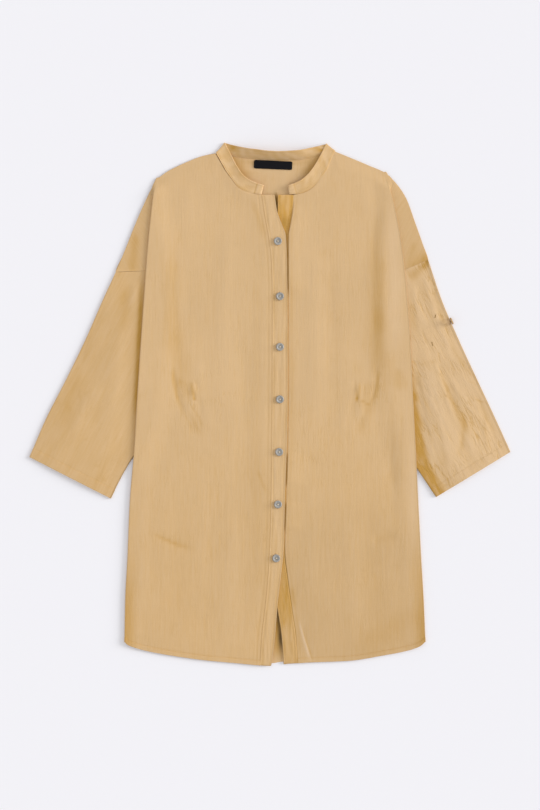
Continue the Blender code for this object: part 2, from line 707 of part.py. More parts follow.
# A dished disc with four holes, turned from its profile.
def button_mesh():
    dish, rim = BUTTON_THICKNESS - 0.8, BUTTON_THICKNESS - 0.1
    profile = [(0.0, dish), (3.4, dish), (4.6, rim), (5.8, rim), (BUTTON_RADIUS, 1.3),
               (4.9, 0.0), (0.0, 0.0)]
    mesh = bpy.data.meshes.new("button")
    mesh.from_pydata([(r * MM, 0.0, z * MM) for r, z in profile], [],
                     [(k, k + 1) for k in range(len(profile) - 1)])
    blank = bpy.data.objects.new("button_blank", mesh)
    bpy.context.scene.collection.objects.link(blank)
    screw = blank.modifiers.new("turned", "SCREW")
    screw.steps = screw.render_steps = 14
    screw.use_merge_vertices = True
    screw.merge_threshold = 0.00001
    holes = []
    for k in range(4):
        angle = math.pi / 4 + math.pi / 2 * k
        reach = BUTTON_HOLE_SPREAD * MM
        bpy.ops.mesh.primitive_cylinder_add(
            vertices=6, radius=BUTTON_HOLE_RADIUS * MM, depth=4 * BUTTON_THICKNESS * MM,
            location=(reach * math.cos(angle), reach * math.sin(angle), 0.0))
        hole = bpy.context.object
        hole.name = f"button_hole_{k + 1}"
        hole.hide_render = True
        hole.display_type = "WIRE"
        move_to(cutters, hole)
        cut = blank.modifiers.new(hole.name, "BOOLEAN")
        cut.object = hole
        cut.operation = "DIFFERENCE"
        holes.append(hole)
    bpy.context.view_layer.update()
    made = bpy.data.meshes.new_from_object(blank.evaluated_get(bpy.context.evaluated_depsgraph_get()))
    made.name = "button"
    made.shade_smooth()
    made.set_sharp_from_angle(angle=math.radians(40))
    bpy.data.objects.remove(blank)
    return made


def button(name, mesh, place, turn=(0.0, 0.0, 0.0)):
    own = mesh.copy()
    own.materials.clear()
    own.materials.append(material(name, PEARL))
    made = bpy.data.objects.new(name, own)
    made.location = Vector(place) * MM
    made.rotation_euler = turn
    return place_object(made)


def front_buttons(mesh):
    for k, y in enumerate(BUTTON_HEIGHTS, 1):
        x = (read(PLACKETS, "over_seam", y) + read(PLACKETS, "over_edge", y)) / 2
        button(f"button_{k}", mesh, (x, y, over_placket_level(y) + BAND_CLOTH / 2 + SEAM))


# The sleeve's button stands on the overarm fold, nearly edge on from above.
def sleeve_button(mesh):
    side = VIEW_RIGHT
    lean = math.radians(SLEEVE_BUTTON_LEAN)
    edge = Vector((outline_x(side, SLEEVE_BUTTON_Y), SLEEVE_BUTTON_Y, 0.0))
    ahead = Vector((outline_x(side, SLEEVE_BUTTON_Y - 5), SLEEVE_BUTTON_Y - 5, 0.0)) - edge
    outward = Vector((-ahead.y, ahead.x, 0.0)).normalized() * side.sign
    fold = CLOTH / 2 + SLEEVE_TURN
    normal = outward * math.sin(lean) + Vector((0, 0, math.cos(lean)))
    upward = Vector((0, 0, math.sin(lean))) - outward * math.cos(lean)
    seat = edge - outward * fold + Vector((0, 0, fold)) + normal * (fold + SEAM)
    seat += upward * (SLEEVE_BUTTON_Z - seat.z) / upward.z
    button("sleeve_button", mesh, seat, normal.to_track_quat("Z", "Y").to_euler())


def neck_label():
    bpy.ops.mesh.primitive_cube_add(size=1.0)
    made = bpy.context.object
    made.name = made.data.name = "neck_label"
    for vertex in made.data.vertices:
        vertex.co = Vector([c * size * MM for c, size in zip(vertex.co, LABEL_SIZE)])
    made.data.materials.append(material("neck_label", DARK_TAPE))
    made.location = Vector((*LABEL_PLACE, CLOTH + SEAM + LABEL_SIZE[2] / 2)) * MM
    made.rotation_euler.z = math.radians(LABEL_TURN)
    place_object(made)


def over_placket_level(y):
    return centre_z(VIEW_LEFT, y)


for old in list(bpy.data.objects):
    bpy.data.objects.remove(old)
tunic = bpy.data.collections.new("tunic_top")
cutters = bpy.data.collections.new("cutters")
for group in (tunic, cutters):
    bpy.context.scene.collection.children.link(group)
pattern = bpy.data.objects.new("pattern", None)
pattern.location = (CENTRING[0] * MM, CENTRING[1] * MM, 0.0)
tunic.objects.link(pattern)

back_panel()
front_panel("front_left", VIEW_RIGHT)
front_panel("front_right", VIEW_LEFT)
sleeve("sleeve_left", VIEW_RIGHT)
sleeve("sleeve_right", VIEW_LEFT)
placket("placket_over", "over_seam", "over_edge", over_placket_level)
placket("placket_under", "under_seam", "under_edge", lambda y: UNDER_PLACKET_Z)
collar_band()
neck_label()
disc = button_mesh()
front_buttons(disc)
sleeve_button(disc)
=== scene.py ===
import math

import bpy
import numpy as np
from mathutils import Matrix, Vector


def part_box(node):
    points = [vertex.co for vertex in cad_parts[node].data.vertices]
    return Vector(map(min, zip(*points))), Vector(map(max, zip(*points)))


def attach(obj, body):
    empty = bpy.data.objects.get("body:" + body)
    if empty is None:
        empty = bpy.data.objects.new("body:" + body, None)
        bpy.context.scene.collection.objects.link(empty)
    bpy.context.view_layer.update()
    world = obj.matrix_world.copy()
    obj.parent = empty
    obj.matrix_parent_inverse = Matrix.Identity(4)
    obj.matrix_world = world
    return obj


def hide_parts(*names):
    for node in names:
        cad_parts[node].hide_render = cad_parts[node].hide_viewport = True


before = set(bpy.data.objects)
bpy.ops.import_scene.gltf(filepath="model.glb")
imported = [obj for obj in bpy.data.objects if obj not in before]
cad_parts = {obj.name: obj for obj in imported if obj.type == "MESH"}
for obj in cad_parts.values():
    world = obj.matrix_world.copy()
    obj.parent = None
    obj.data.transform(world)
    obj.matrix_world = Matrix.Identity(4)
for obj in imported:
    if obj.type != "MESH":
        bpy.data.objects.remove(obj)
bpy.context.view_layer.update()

# Tunic top in gauze cotton, laid flat on its back. +X is the viewer's right, +Y the collar.
# Lengths are in millimetres until a mesh is made.
mm = 0.001
print("frame loaded:", len(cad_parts), "solids")

cloth = {
    "wall": 1.3,          # turned hems, where the cloth is doubled
    "single": 0.45,       # share of that wall in single cloth
    "band": 1.15,         # plackets and collar
    "rim": 0.35,          # how far from a free edge the cloth starts to round off
    "centring": (0.0, -0.1),
}
layers = {                # height of the middle of each layer
    "back": 0.5,
    "onBack": 1.9,
    "sleeveTurn": 0.9,
    "sleeveTop": 2.3,
    "onSleeve": 3.7,
    "sideTurn": 0.8,
    "frontOnSleeve": 5.3,
    "front": 3.2,
    "hem": 2.3,
    "neck": 3.7,
    "underPlacket": 2.1,
    "overPlacket": 4.0,
    "overPlacketHem": 2.9,
}

# Outlines, as columns that are read at any height or distance
outline = {
    "y": [365.3, 346.1, 326.9, 294.9, 230.9, 166.9, 102.9, 38.9, -25.1, -76.3, -84.3],
    "left": [-173.8, -188.3, -198.1, -212.3, -238.2, -267.4, -295.4, -326.6, -359.2, -381.2, -384.6],
    "right": [190.9, 207.5, 219.0, 230.7, 253.3, 275.0, 302.4, 332.0, 361.9, 384.6, 387.6],
}
bodySide = {
    "y": [371.7, 342.9, 318.9, 246.9, 166.9, 86.9, 6.9, -73.1, -153.1, -249.1, -313.1, -378.7],
    "left": [-175.0, -185.4, -188.8, -196.0, -201.8, -207.4, -212.6, -217.2, -224.0, -228.2, -231.6,
             -232.8],
    "right": [181.9, 192.2, 198.6, 211.6, 219.8, 225.4, 229.3, 233.4, 237.4, 242.4, 246.2, 249.0],
}
hemLine = {
    "x": [-232.8, -228.0, -220.6, -201.4, -163.0, -105.4, -47.8, -9.4, 2.1, 21.9, 67.4, 125.0, 182.6,
          221.0, 240.2, 249.0],
    "y": [-378.7, -384.0, -387.4, -393.3, -400.8, -409.0, -414.4, -417.8, -418.2, -415.5, -412.6,
          -410.2, -401.3, -393.6, -386.6, -378.7],
}
lowestY = min(hemLine["y"])
placketLines = {
    "y": [334.9, 309.3, 288.5, 269.3, 230.9, 166.9, 6.9, -159.5, -233.1, -281.1, -325.9, -372.3, -418.2],
    "overSeam": [-12.6, -8.8, -5.3, -1.8, 2.7, 4.2, 3.8, 2.2, 0.0, -3.0, -7.4, -12.6, -15.5],
    "overEdge": [7.5, 11.4, 18.7, 25.4, 27.2, 28.2, 28.3, 23.8, 21.8, 16.8, 11.7, 8.2, 2.1],
    "underEdge": [12.6, 12.3, 9.8, 5.8, 4.0, 4.6, 4.6, 2.0, 0.0, 4.2, 11.7, 18.7, 21.9],
    "underSeam": [37.6, 35.4, 31.8, 28.6, 28.4, 28.8, 29.0, 24.8, 22.6, 27.8, 34.1, 40.5, 44.0],
}
sideDepth = {"above": [163, 51, 0, -37, -77, -173, -304], "depth": [40, 30, 19.5, 12, 7, 5, 4]}
shoulderDepth = {"above": [-34, -46, -70, -110, -172], "depth": [0, 5, 14, 26, 40]}

leftSide = {
    "sign": -1, "key": "left", "foldStart": (-175.0, 362.5), "outerTop": 352.5,
    "dropOuter": 211.7, "dropInner": 214.9, "cuffY": -84.3,
    "underarm": [(-197.4, -60.3), (-221.3, -89.1), (-239.8, -121.1), (-254.2, -150.7)],
    "shoulder": [(-85.4, 401.3), (-106.4, 396.6), (-121.8, 390.9), (-149.6, 378.1), (-161.3, 371.7),
                 (-175.0, 362.5)],
}
rightSide = {
    "sign": 1, "key": "right", "foldStart": (181.9, 371.7), "outerTop": 365.3,
    "dropOuter": 230.9, "dropInner": 198.9, "cuffY": -76.3,
    "underarm": [(214.6, -76.3), (236.5, -105.1), (250.6, -126.0), (265.8, -148.3)],
    "shoulder": [(103.7, 404.3), (121.1, 397.3), (151.7, 384.5), (181.9, 371.7)],
}


def ease(value, start, end):
    share = np.clip((np.asarray(value, float) - start) / (end - start), 0.0, 1.0)
    return share * share * (3 - 2 * share)


def mix(first, second, share):
    return first * (1 - share) + second * share


# A smooth curve through a column of values, with no overshoot between them
def readCurve(keys, values, at):
    keys, values = np.asarray(keys, float), np.asarray(values, float)
    if keys[0] > keys[-1]:
        keys, values = keys[::-1], values[::-1]
    at = np.clip(np.asarray(at, float), keys[0], keys[-1])
    k = np.clip(np.searchsorted(keys, at, side="left") - 1, 0, len(keys) - 2)
    width = np.diff(keys)
    slope = np.diff(values) / width
    before, after = slope[:-1], slope[1:]
    turning = before * after > 0
    middle = np.where(turning, 2 * before * after / np.where(turning, before + after, 1.0), 0.0)
    slopes = np.concatenate([slope[:1], middle, slope[-1:]])
    w, t = width[k], (at - keys[k]) / width[k]
    return ((1 + 2 * t) * (1 - t) ** 2 * values[k] + t * (1 - t) ** 2 * w * slopes[k]
            + t * t * (3 - 2 * t) * values[k + 1] + t * t * (t - 1) * w * slopes[k + 1])


# Points at shares of the length of a path, seen from above
def along(path, share):
    path = np.asarray(path, float)
    steps = np.linalg.norm(np.diff(path[:, :2], axis=0), axis=1)
    lengths = np.concatenate([[0.0], np.cumsum(steps)])
    at = np.asarray(share, float) * lengths[-1]
    return np.stack([readCurve(lengths, column, at) for column in path.T], axis=-1)


def alongEach(paths, ends, share):
    share = np.atleast_1d(np.asarray(share, float))
    found, start = np.zeros((len(share), 2)), 0.0
    for k, (path, end) in enumerate(zip(paths, ends)):
        here = (share > start) | (k == 0) if k else share <= end
        if k == len(paths) - 1:
            here = share > start
        elif k:
            here = (share > start) & (share <= end)
        found[here] = along(path, (share[here] - start) / (end - start))
        start = end
    return found


# A sheet stretched between four edges. u runs from inner to outer, v from bottom to top.
def patch(bottom, top, inner, outer, u, v):
    ends = np.array([0.0, 1.0])
    (b0, b1), (t0, t1) = bottom(ends), top(ends)
    u, v = np.asarray(u)[None, :, None], np.asarray(v)[:, None, None]
    corners = mix(mix(b0, b1, u), mix(t0, t1, u), v)
    lengthwise = mix(bottom(u[0, :, 0])[None], top(u[0, :, 0])[None], v)
    return lengthwise + mix(inner(v[:, 0, 0])[:, None], outer(v[:, 0, 0])[:, None], u) - corners


# Random heights from -1 to 1 in streaks of about these sizes. No two columns start together.
def streaks(x, y, across, lengthwise, seed):
    rng = np.random.RandomState(seed)
    heights, shifts = rng.uniform(-1, 1, (256, 256)), rng.uniform(0, 256, 256)
    gx = np.asarray(x, float) / across + 128
    column = np.floor(gx).astype(int)
    total = 0.0
    fx = gx - column
    fx = fx * fx * (3 - 2 * fx)
    for side, weight in ((0, 1 - fx), (1, fx)):
        here = (column + side) % 256
        gy = np.asarray(y, float) / lengthwise + shifts[here]
        row = np.floor(gy).astype(int)
        fy = gy - row
        fy = fy * fy * (3 - 2 * fy)
        total = total + weight * mix(heights[here, row % 256], heights[here, (row + 1) % 256], fy)
    return total


# The crinkle of gauze: narrow ridges that run along the grain, over slow waves
def crinkle(x, y, seed):
    fine = streaks(x, y, 2.1, 34.0, seed)
    narrow = 1 - 2 * np.abs(streaks(x, y, 4.6, 70.0, seed + 1))
    broad = streaks(x, y, 19.0, 150.0, seed + 2)
    slow = streaks(x, y, 60.0, 170.0, seed + 3)
    patches = 0.55 + 0.45 * streaks(x, y, 46.0, 110.0, seed + 4)
    return patches * (0.045 * fine + 0.07 * narrow) + 0.045 * broad + 0.07 * slow


def crease(start, end, half, height, bend=0.0, right=None, power=2.0):
    return dict(start=start, end=end, half=half, height=height, bend=bend, right=right or half,
                power=power)


# half is the width to the left of the line, seen from its start, and right the width beyond it
def creaseHeight(creases, x, y, seed=5):
    total = np.zeros(np.shape(x))
    for n, c in enumerate(creases):
        (x0, y0), (x1, y1) = c["start"], c["end"]
        length = math.hypot(x1 - x0, y1 - y0)
        dx, dy = (x1 - x0) / length, (y1 - y0) / length
        s = ((x - x0) * dx + (y - y0) * dy) / length
        off = (x - x0) * dy - (y - y0) * dx - 4 * c["bend"] * s * (1 - s)
        waver = streaks(s * length, np.full(np.shape(x), n * 7.0), 26.0, 3.0, seed + n)
        off = off + waver * 0.12 * c["half"]
        half = np.where(off < 0, c["half"], c["right"]) * (0.8 + 0.35 * ease(s, 0, 1) + 0.12 * waver)
        taper = ease(s, -0.04, 0.25) * ease(1 - s, -0.04, 0.35)
        total += c["height"] * taper * (1 + 0.22 * waver) * np.exp(-(np.abs(off) / half) ** c["power"])
    return total


def groove(distance, at, half, depth):
    return -depth * np.exp(-(((distance - at) / half) ** 2))


def sideX(side, y):
    return readCurve(bodySide["y"], bodySide[side["key"]], y)


def outlineX(side, y):
    return readCurve(outline["y"], outline[side["key"]], y)


def hemY(x):
    return readCurve(hemLine["x"], hemLine["y"], x)


def depthUnder(side, y):
    fromUnderarm = readCurve(sideDepth["above"], sideDepth["depth"], y - side["underarm"][0][1])
    fromShoulder = readCurve(shoulderDepth["above"], shoulderDepth["depth"], y - side["foldStart"][1])
    return np.minimum(fromUnderarm, fromShoulder)


def returnZ(side, y):
    return mix(layers["onSleeve"], layers["onBack"], ease(side["underarm"][0][1] - y, 33.0, 70.0))


def centreX(side, y):
    return readCurve(placketLines["y"], placketLines["underSeam" if side["sign"] > 0 else "overSeam"], y)


def centreZ(side, y):
    if side["sign"] > 0:
        return layers["underPlacket"] + 0.8 * ease(np.asarray(y), 314.0, 334.0)
    return mix(layers["overPlacket"], layers["overPlacketHem"], ease(-np.asarray(y), 310.0, 410.0))


# Finishes
def node(tree, kind, place, **values):
    made = tree.nodes.new("ShaderNode" + kind)
    made.location = place
    for name, value in values.items():
        if hasattr(made, name):
            setattr(made, name, value)
        else:
            made.inputs[name.replace("_", " ")].default_value = value
    return made


def newMaterial(name, roughness):
    made = bpy.data.materials.new(name)
    made.use_nodes = True
    shader = made.node_tree.nodes["Principled BSDF"]
    shader.inputs["Roughness"].default_value = roughness
    return made, made.node_tree, shader


gauze = {
    "colour": (0.742, 0.497, 0.258),
    "shadeColour": (0.575, 0.315, 0.068),    # painted shade, for folds and crevices
    "highlightColour": (0.81, 0.575, 0.350),     # painted highlight, for lit ridges and paler patches
    "yarn": 0.62,                     # pitch of the weave
    "lines": 0.5,                     # how much the fine crinkle lines change the painted shade
    "wrinkles": (190.0, 24.0, 1.0),   # how many thin wrinkles in a metre, across and along
    # painted shade along the thin wrinkles
    "wrinkleShade": 0.55,
    "roughness": 0.88,
}


# grain holds each point's place on the cut cloth in metres. The shading attribute paints light and shade into the
# colour:
# from -1, a painted highlight, to 1, painted shade in a fold. The darkening attribute takes its share off the colour to
# paint shade, and adds to it where it is below zero to paint light. wrinkle is how much the cloth has been pushed
# together.
def gauzeCotton(name, weaveHeight=0.00006):
    made, tree, shader = newMaterial(name, gauze["roughness"])
    link = tree.links.new
    grain = node(tree, "Attribute", (-1500, 0), attribute_name="grain")
    paintedShading = node(tree, "Attribute", (-1500, -400), attribute_name="paintedShading")
    split = node(tree, "SeparateXYZ", (-1300, 0))
    link(grain.outputs["Vector"], split.inputs[0])
    # Uneven yarns: noise stretched along each direction
    yarns = []
    for k, (axis, stretch) in enumerate((("X", (1500, 45, 1)), ("Y", (45, 1500, 1)))):
        mapped = node(tree, "Mapping", (-1300, 300 + 260 * k), vector_type="POINT")
        mapped.inputs["Scale"].default_value = stretch
        link(grain.outputs["Vector"], mapped.inputs["Vector"])
        slub = node(tree, "TexNoise", (-1100, 300 + 260 * k), Scale=1.0, Detail=3.0, Roughness=0.6)
        link(mapped.outputs[0], slub.inputs["Vector"])
        wave = node(tree, "Math", (-1100, 60 - 200 * k), operation="MULTIPLY")
        wave.inputs[1].default_value = 2 * math.pi / (gauze["yarn"] * mm)
        link(split.outputs[axis], wave.inputs[0])
        shifted = node(tree, "Math", (-930, 60 - 200 * k), operation="MULTIPLY_ADD")
        shifted.inputs[1].default_value = 7.0
        link(slub.outputs[0], shifted.inputs[0])
        link(wave.outputs[0], shifted.inputs[2])
        sine = node(tree, "Math", (-760, 60 - 200 * k), operation="SINE")
        link(shifted.outputs[0], sine.inputs[0])
        yarns.append((sine, slub))
    weave = node(tree, "Math", (-560, 0), operation="ADD")
    link(yarns[0][0].outputs[0], weave.inputs[0])
    link(yarns[1][0].outputs[0], weave.inputs[1])
    slubs = node(tree, "Math", (-560, 420), operation="ADD")
    link(yarns[0][1].outputs[0], slubs.inputs[0])
    link(yarns[1][1].outputs[0], slubs.inputs[1])
    # Crinkle lines that are too fine for the mesh: bumps, and painted shade along them
    fineMap = node(tree, "Mapping", (-1100, 900), vector_type="POINT")
    fineMap.inputs["Scale"].default_value = (330, 24, 1)
    link(grain.outputs["Vector"], fineMap.inputs["Vector"])
    fine = node(tree, "TexNoise", (-930, 900), Scale=1.0, Detail=2.0, Roughness=0.55)
    link(fineMap.outputs[0], fine.inputs["Vector"])
    # Colour: slow dye variation, then yarns, then painted shade and light in folds and wrinkles
    dye = node(tree, "TexNoise", (-930, 1200), Scale=9.0, Detail=3.0, Roughness=0.5)
    link(grain.outputs["Vector"], dye.inputs["Vector"])
    uneven = node(tree, "MapRange", (-700, 1400), To_Min=0.972, To_Max=1.022)
    uneven.inputs["From Min"].default_value, uneven.inputs["From Max"].default_value = 0.3, 0.7
    link(dye.outputs[0], uneven.inputs[0])
    lined = node(tree, "Math", (-1080, 1650), operation="MULTIPLY_ADD")
    lined.inputs[1].default_value = gauze["lines"]
    link(fine.outputs[0], lined.inputs[0])
    # Thin wrinkles, where the cloth has been pushed together, drawn as bumps and as painted shade
    pushed = node(tree, "Attribute", (-1900, 2100), attribute_name="wrinkle")
    wrinkleMap = node(tree, "Mapping", (-2100, 1900), vector_type="POINT")
    wrinkleMap.inputs["Scale"].default_value = gauze["wrinkles"]
    link(grain.outputs["Vector"], wrinkleMap.inputs["Vector"])
    wrinkles = node(tree, "TexNoise", (-1900, 1900), Scale=1.0, Detail=3.0, Roughness=0.5, Distortion=0.5)
    link(wrinkleMap.outputs[0], wrinkles.inputs["Vector"])
    middle = node(tree, "Math", (-1700, 1900), operation="SUBTRACT")
    middle.inputs[1].default_value = 0.5
    link(wrinkles.outputs[0], middle.inputs[0])
    either = node(tree, "Math", (-1540, 1900), operation="ABSOLUTE")
    link(middle.outputs[0], either.inputs[0])
    ridge = node(tree, "MapRange", (-1380, 1900), To_Min=1.0, To_Max=0.0)
    ridge.inputs["From Max"].default_value = 0.055
    link(either.outputs[0], ridge.inputs[0])
    clusters = node(tree, "TexNoise", (-1900, 2300), Scale=30.0, Detail=1.0)
    link(grain.outputs["Vector"], clusters.inputs["Vector"])
    some = node(tree, "MapRange", (-1540, 2300))
    some.inputs["From Min"].default_value, some.inputs["From Max"].default_value = 0.42, 0.62
    link(clusters.outputs[0], some.inputs[0])
    clustered = node(tree, "Math", (-1380, 2200), operation="MULTIPLY")
    link(some.outputs[0], clustered.inputs[0])
    link(pushed.outputs["Fac"], clustered.inputs[1])
    creased = node(tree, "Math", (-1220, 2000), operation="MULTIPLY")
    link(ridge.outputs[0], creased.inputs[0])
    link(clustered.outputs[0], creased.inputs[1])
    # Painted shade and light: wrinkle ridges, the shading attribute and the fine crinkle lines, read through the ramp
    painted = node(tree, "Math", (-1220, 1800), operation="MULTIPLY_ADD")
    painted.inputs[1].default_value = gauze["wrinkleShade"]
    link(creased.outputs[0], painted.inputs[0])
    link(paintedShading.outputs["Fac"], painted.inputs[2])
    link(painted.outputs[0], lined.inputs[2])
    depth = node(tree, "MapRange", (-900, 1650))
    depth.inputs["From Min"].default_value = gauze["lines"] / 2 - 1
    depth.inputs["From Max"].default_value = gauze["lines"] / 2 + 1
    link(lined.outputs[0], depth.inputs[0])
    tones = node(tree, "ValToRGB", (-700, 1700))
    tones.color_ramp.elements.new(0.5)
    for point, finish in zip(tones.color_ramp.elements, ("highlightColour", "colour", "shadeColour")):
        point.color = (*gauze[finish], 1.0)
    link(depth.outputs[0], tones.inputs[0])
    streak = node(tree, "MapRange", (-700, 900), To_Min=0.985, To_Max=1.012)
    streak.inputs["From Min"].default_value, streak.inputs["From Max"].default_value = 0.3, 0.7
    link(fine.outputs[0], streak.inputs[0])
    mottled = node(tree, "MapRange", (-380, 420), To_Min=0.975, To_Max=1.02)
    mottled.inputs["From Min"].default_value, mottled.inputs["From Max"].default_value = 0.7, 1.3
    link(slubs.outputs[0], mottled.inputs[0])
    fibres = node(tree, "Math", (-200, 700), operation="MULTIPLY")
    link(streak.outputs[0], fibres.inputs[0])
    link(mottled.outputs[0], fibres.inputs[1])
    cloudy = node(tree, "Math", (-120, 760), operation="MULTIPLY")
    link(fibres.outputs[0], cloudy.inputs[0])
    link(uneven.outputs[0], cloudy.inputs[1])
    # Painted darkening: takes its share off the colour where shade is painted, and adds where light is painted
    paintedDarkening = node(tree, "Attribute", (-300, 1000), attribute_name="paintedDarkening")
    left = node(tree, "Math", (-120, 1000), operation="SUBTRACT")
    left.inputs[0].default_value = 1.0
    link(paintedDarkening.outputs["Fac"], left.inputs[1])
    both = node(tree, "Math", (-40, 700), operation="MULTIPLY")
    link(cloudy.outputs[0], both.inputs[0])
    link(left.outputs[0], both.inputs[1])
    toned = node(tree, "Mix", (0, 900), data_type="RGBA", blend_type="MULTIPLY")
    toned.inputs[0].default_value = 1.0
    link(tones.outputs[0], toned.inputs[6])
    link(both.outputs[0], toned.inputs[7])
    link(toned.outputs[2], shader.inputs["Base Color"])
    rough = node(tree, "MapRange", (0, 200), To_Min=0.80, To_Max=0.95)
    link(slubs.outputs[0], rough.inputs[0])
    link(rough.outputs[0], shader.inputs["Roughness"])
    shader.inputs["Sheen Weight"].default_value = 0.22
    shader.inputs["Sheen Roughness"].default_value = 0.55
    shader.inputs["Sheen Tint"].default_value = (1.0, 0.93, 0.82, 1.0)
    shader.inputs["Specular IOR Level"].default_value = 0.15
    threads = node(tree, "Bump", (0, -200), Strength=0.7, Distance=weaveHeight)
    link(weave.outputs[0], threads.inputs["Height"])
    ripples = node(tree, "Bump", (200, -200), Strength=0.6, Distance=0.00016)
    link(fine.outputs[0], ripples.inputs["Height"])
    link(threads.outputs[0], ripples.inputs["Normal"])
    sunken = node(tree, "Bump", (380, -200), Strength=0.8, Distance=0.00035, invert=True)
    link(creased.outputs[0], sunken.inputs["Height"])
    link(ripples.outputs[0], sunken.inputs["Normal"])
    link(sunken.outputs[0], shader.inputs["Normal"])
    return made


# Twisted thread. grain is the place on the cloth that it is sewn to.
def sewingThread(name, colour):
    made, tree, shader = newMaterial(name, 0.7)
    grain = node(tree, "Attribute", (-900, 0), attribute_name="grain")
    fibre = node(tree, "TexNoise", (-700, 0), Scale=900.0, Detail=2.0)
    tree.links.new(grain.outputs["Vector"], fibre.inputs["Vector"])
    tones = node(tree, "ValToRGB", (-500, 0))
    for point, share in zip(tones.color_ramp.elements, (0.9, 1.06)):
        point.color = (*[share * c for c in colour], 1.0)
    tree.links.new(fibre.outputs[0], tones.inputs[0])
    tree.links.new(tones.outputs[0], shader.inputs["Base Color"])
    twist = node(tree, "Bump", (-300, -200), Strength=0.6, Distance=0.00005)
    tree.links.new(fibre.outputs[0], twist.inputs["Height"])
    tree.links.new(twist.outputs[0], shader.inputs["Normal"])
    shader.inputs["Sheen Weight"].default_value = 0.15
    shader.inputs["Specular IOR Level"].default_value = 0.2
    return made


# The last two colours make the sleeve button's pearl brownish, as painted shade and a painted reflection of the cloth
pearl = {"colour": (0.27, 0.255, 0.235), "cloud": (0.44, 0.425, 0.40), "roughness": 0.34, "coat": 0.25,
         "shadedBrown": (0.34, 0.18, 0.045), "shadedBrownCloud": (0.44, 0.26, 0.08)}


# Cut shell: cloudy with a soft polish
def pearlShell(name, dark, light):
    made, tree, shader = newMaterial(name, pearl["roughness"])
    place = node(tree, "TexCoord", (-1100, 0))
    cloud = node(tree, "TexNoise", (-900, 0), Scale=420.0, Detail=4.0, Roughness=0.6, Distortion=1.2)
    tree.links.new(place.outputs["Object"], cloud.inputs["Vector"])
    tones = node(tree, "ValToRGB", (-600, 0))
    for point, position, colour in zip(tones.color_ramp.elements, (0.38, 0.66), (dark, light)):
        point.position, point.color = position, (*colour, 1.0)
    tree.links.new(cloud.outputs[0], tones.inputs[0])
    tree.links.new(tones.outputs[0], shader.inputs["Base Color"])
    rough = node(tree, "MapRange", (-600, -260), To_Min=0.26, To_Max=0.46)
    tree.links.new(cloud.outputs[0], rough.inputs[0])
    tree.links.new(rough.outputs[0], shader.inputs["Roughness"])
    lathe = node(tree, "Bump", (-300, -400), Strength=0.3, Distance=0.00008)
    tree.links.new(cloud.outputs[0], lathe.inputs["Height"])
    tree.links.new(lathe.outputs[0], shader.inputs["Normal"])
    shader.inputs["Coat Weight"].default_value = pearl["coat"]
    shader.inputs["Coat Roughness"].default_value = 0.2
    return made


# Tape woven in one dark yarn: fine ribs across it and a finer warp
def labelTape(name):
    made, tree, shader = newMaterial(name, 0.75)
    link = tree.links.new
    grain = node(tree, "Attribute", (-1300, 0), attribute_name="grain")
    mapped = node(tree, "Mapping", (-1100, 0), vector_type="POINT")
    mapped.inputs["Scale"].default_value = (260, 2600, 1)
    link(grain.outputs["Vector"], mapped.inputs["Vector"])
    ribs = node(tree, "TexNoise", (-900, 0), Scale=1.0, Detail=2.0)
    link(mapped.outputs[0], ribs.inputs["Vector"])
    tones = node(tree, "ValToRGB", (-600, 0))
    for point, colour in zip(tones.color_ramp.elements, ((0.0038, 0.0036, 0.0052), (0.0088, 0.0082, 0.0108))):
        point.color = (*colour, 1.0)
    link(ribs.outputs[0], tones.inputs[0])
    link(tones.outputs[0], shader.inputs["Base Color"])
    raised = node(tree, "Bump", (-300, -200), Strength=0.6, Distance=0.00005)
    link(ribs.outputs[0], raised.inputs["Height"])
    link(raised.outputs[0], shader.inputs["Normal"])
    shader.inputs["Specular IOR Level"].default_value = 0.12
    return made


cotton = gauzeCotton("gauze_cotton")
seamThread = sewingThread("seam_thread", (0.70, 0.455, 0.205))
tackThread = sewingThread("tack_thread", (0.40, 0.235, 0.075))
buttonThread = sewingThread("button_thread", (0.72, 0.62, 0.47))
greyShell = pearlShell("pearl_shell", pearl["colour"], pearl["cloud"])
# the sleeve button's pearl shell, made brownish as painted shade and a painted reflection of the cloth
shadedSleeveShell = pearlShell("pearl_shell_painted_shade", pearl["shadedBrown"], pearl["shadedBrownCloud"])
blackTape = labelTape("label_tape")
print("finishes ready")


# Meshes
def showPiece(made, slot, *nodes):
    bpy.context.scene.collection.objects.link(made)
    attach(made, "root")
    if nodes:
        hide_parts(*nodes)
    return made


def meshFrom(name, points, faces, finish, grain=None, paintedShading=None, paintedDarkening=None, wrinkle=None):
    used = np.unique(faces)
    place = np.full(len(points), -1)
    place[used] = np.arange(len(used))
    mesh = bpy.data.meshes.new(name)
    shift = np.array([*cloth["centring"], 0.0])
    mesh.from_pydata(((points[used] + shift) * mm).tolist(), [], place[faces].tolist())
    if grain is not None:
        layer = mesh.attributes.new("grain", "FLOAT_VECTOR", "POINT")
        padded = np.zeros((len(used), 3), np.float32)
        padded[:, :2] = grain[used] * mm
        layer.data.foreach_set("vector", padded.ravel())
        for attribute, values in (("paintedShading", paintedShading), ("paintedDarkening", paintedDarkening), ("wrinkle", wrinkle)):
            layer = mesh.attributes.new(attribute, "FLOAT", "POINT")
            values = np.zeros(len(used)) if values is None else np.clip(values[used], -1, 1)
            layer.data.foreach_set("value", values.astype(np.float32))
    mesh.materials.append(finish)
    mesh.shade_smooth()
    return mesh, used


def gridFaces(rows, columns, ring=False, keep=None):
    spans = columns if ring else columns - 1
    r, c = np.meshgrid(np.arange(rows - 1), np.arange(spans), indexing="ij")
    if keep is not None:
        kept = keep(r, c)
        r, c = r[kept], c[kept]
    r, c = r.ravel(), c.ravel()
    nxt = (c + 1) % columns
    return np.stack([r * columns + c, r * columns + nxt, (r + 1) * columns + nxt, (r + 1) * columns + c], 1)


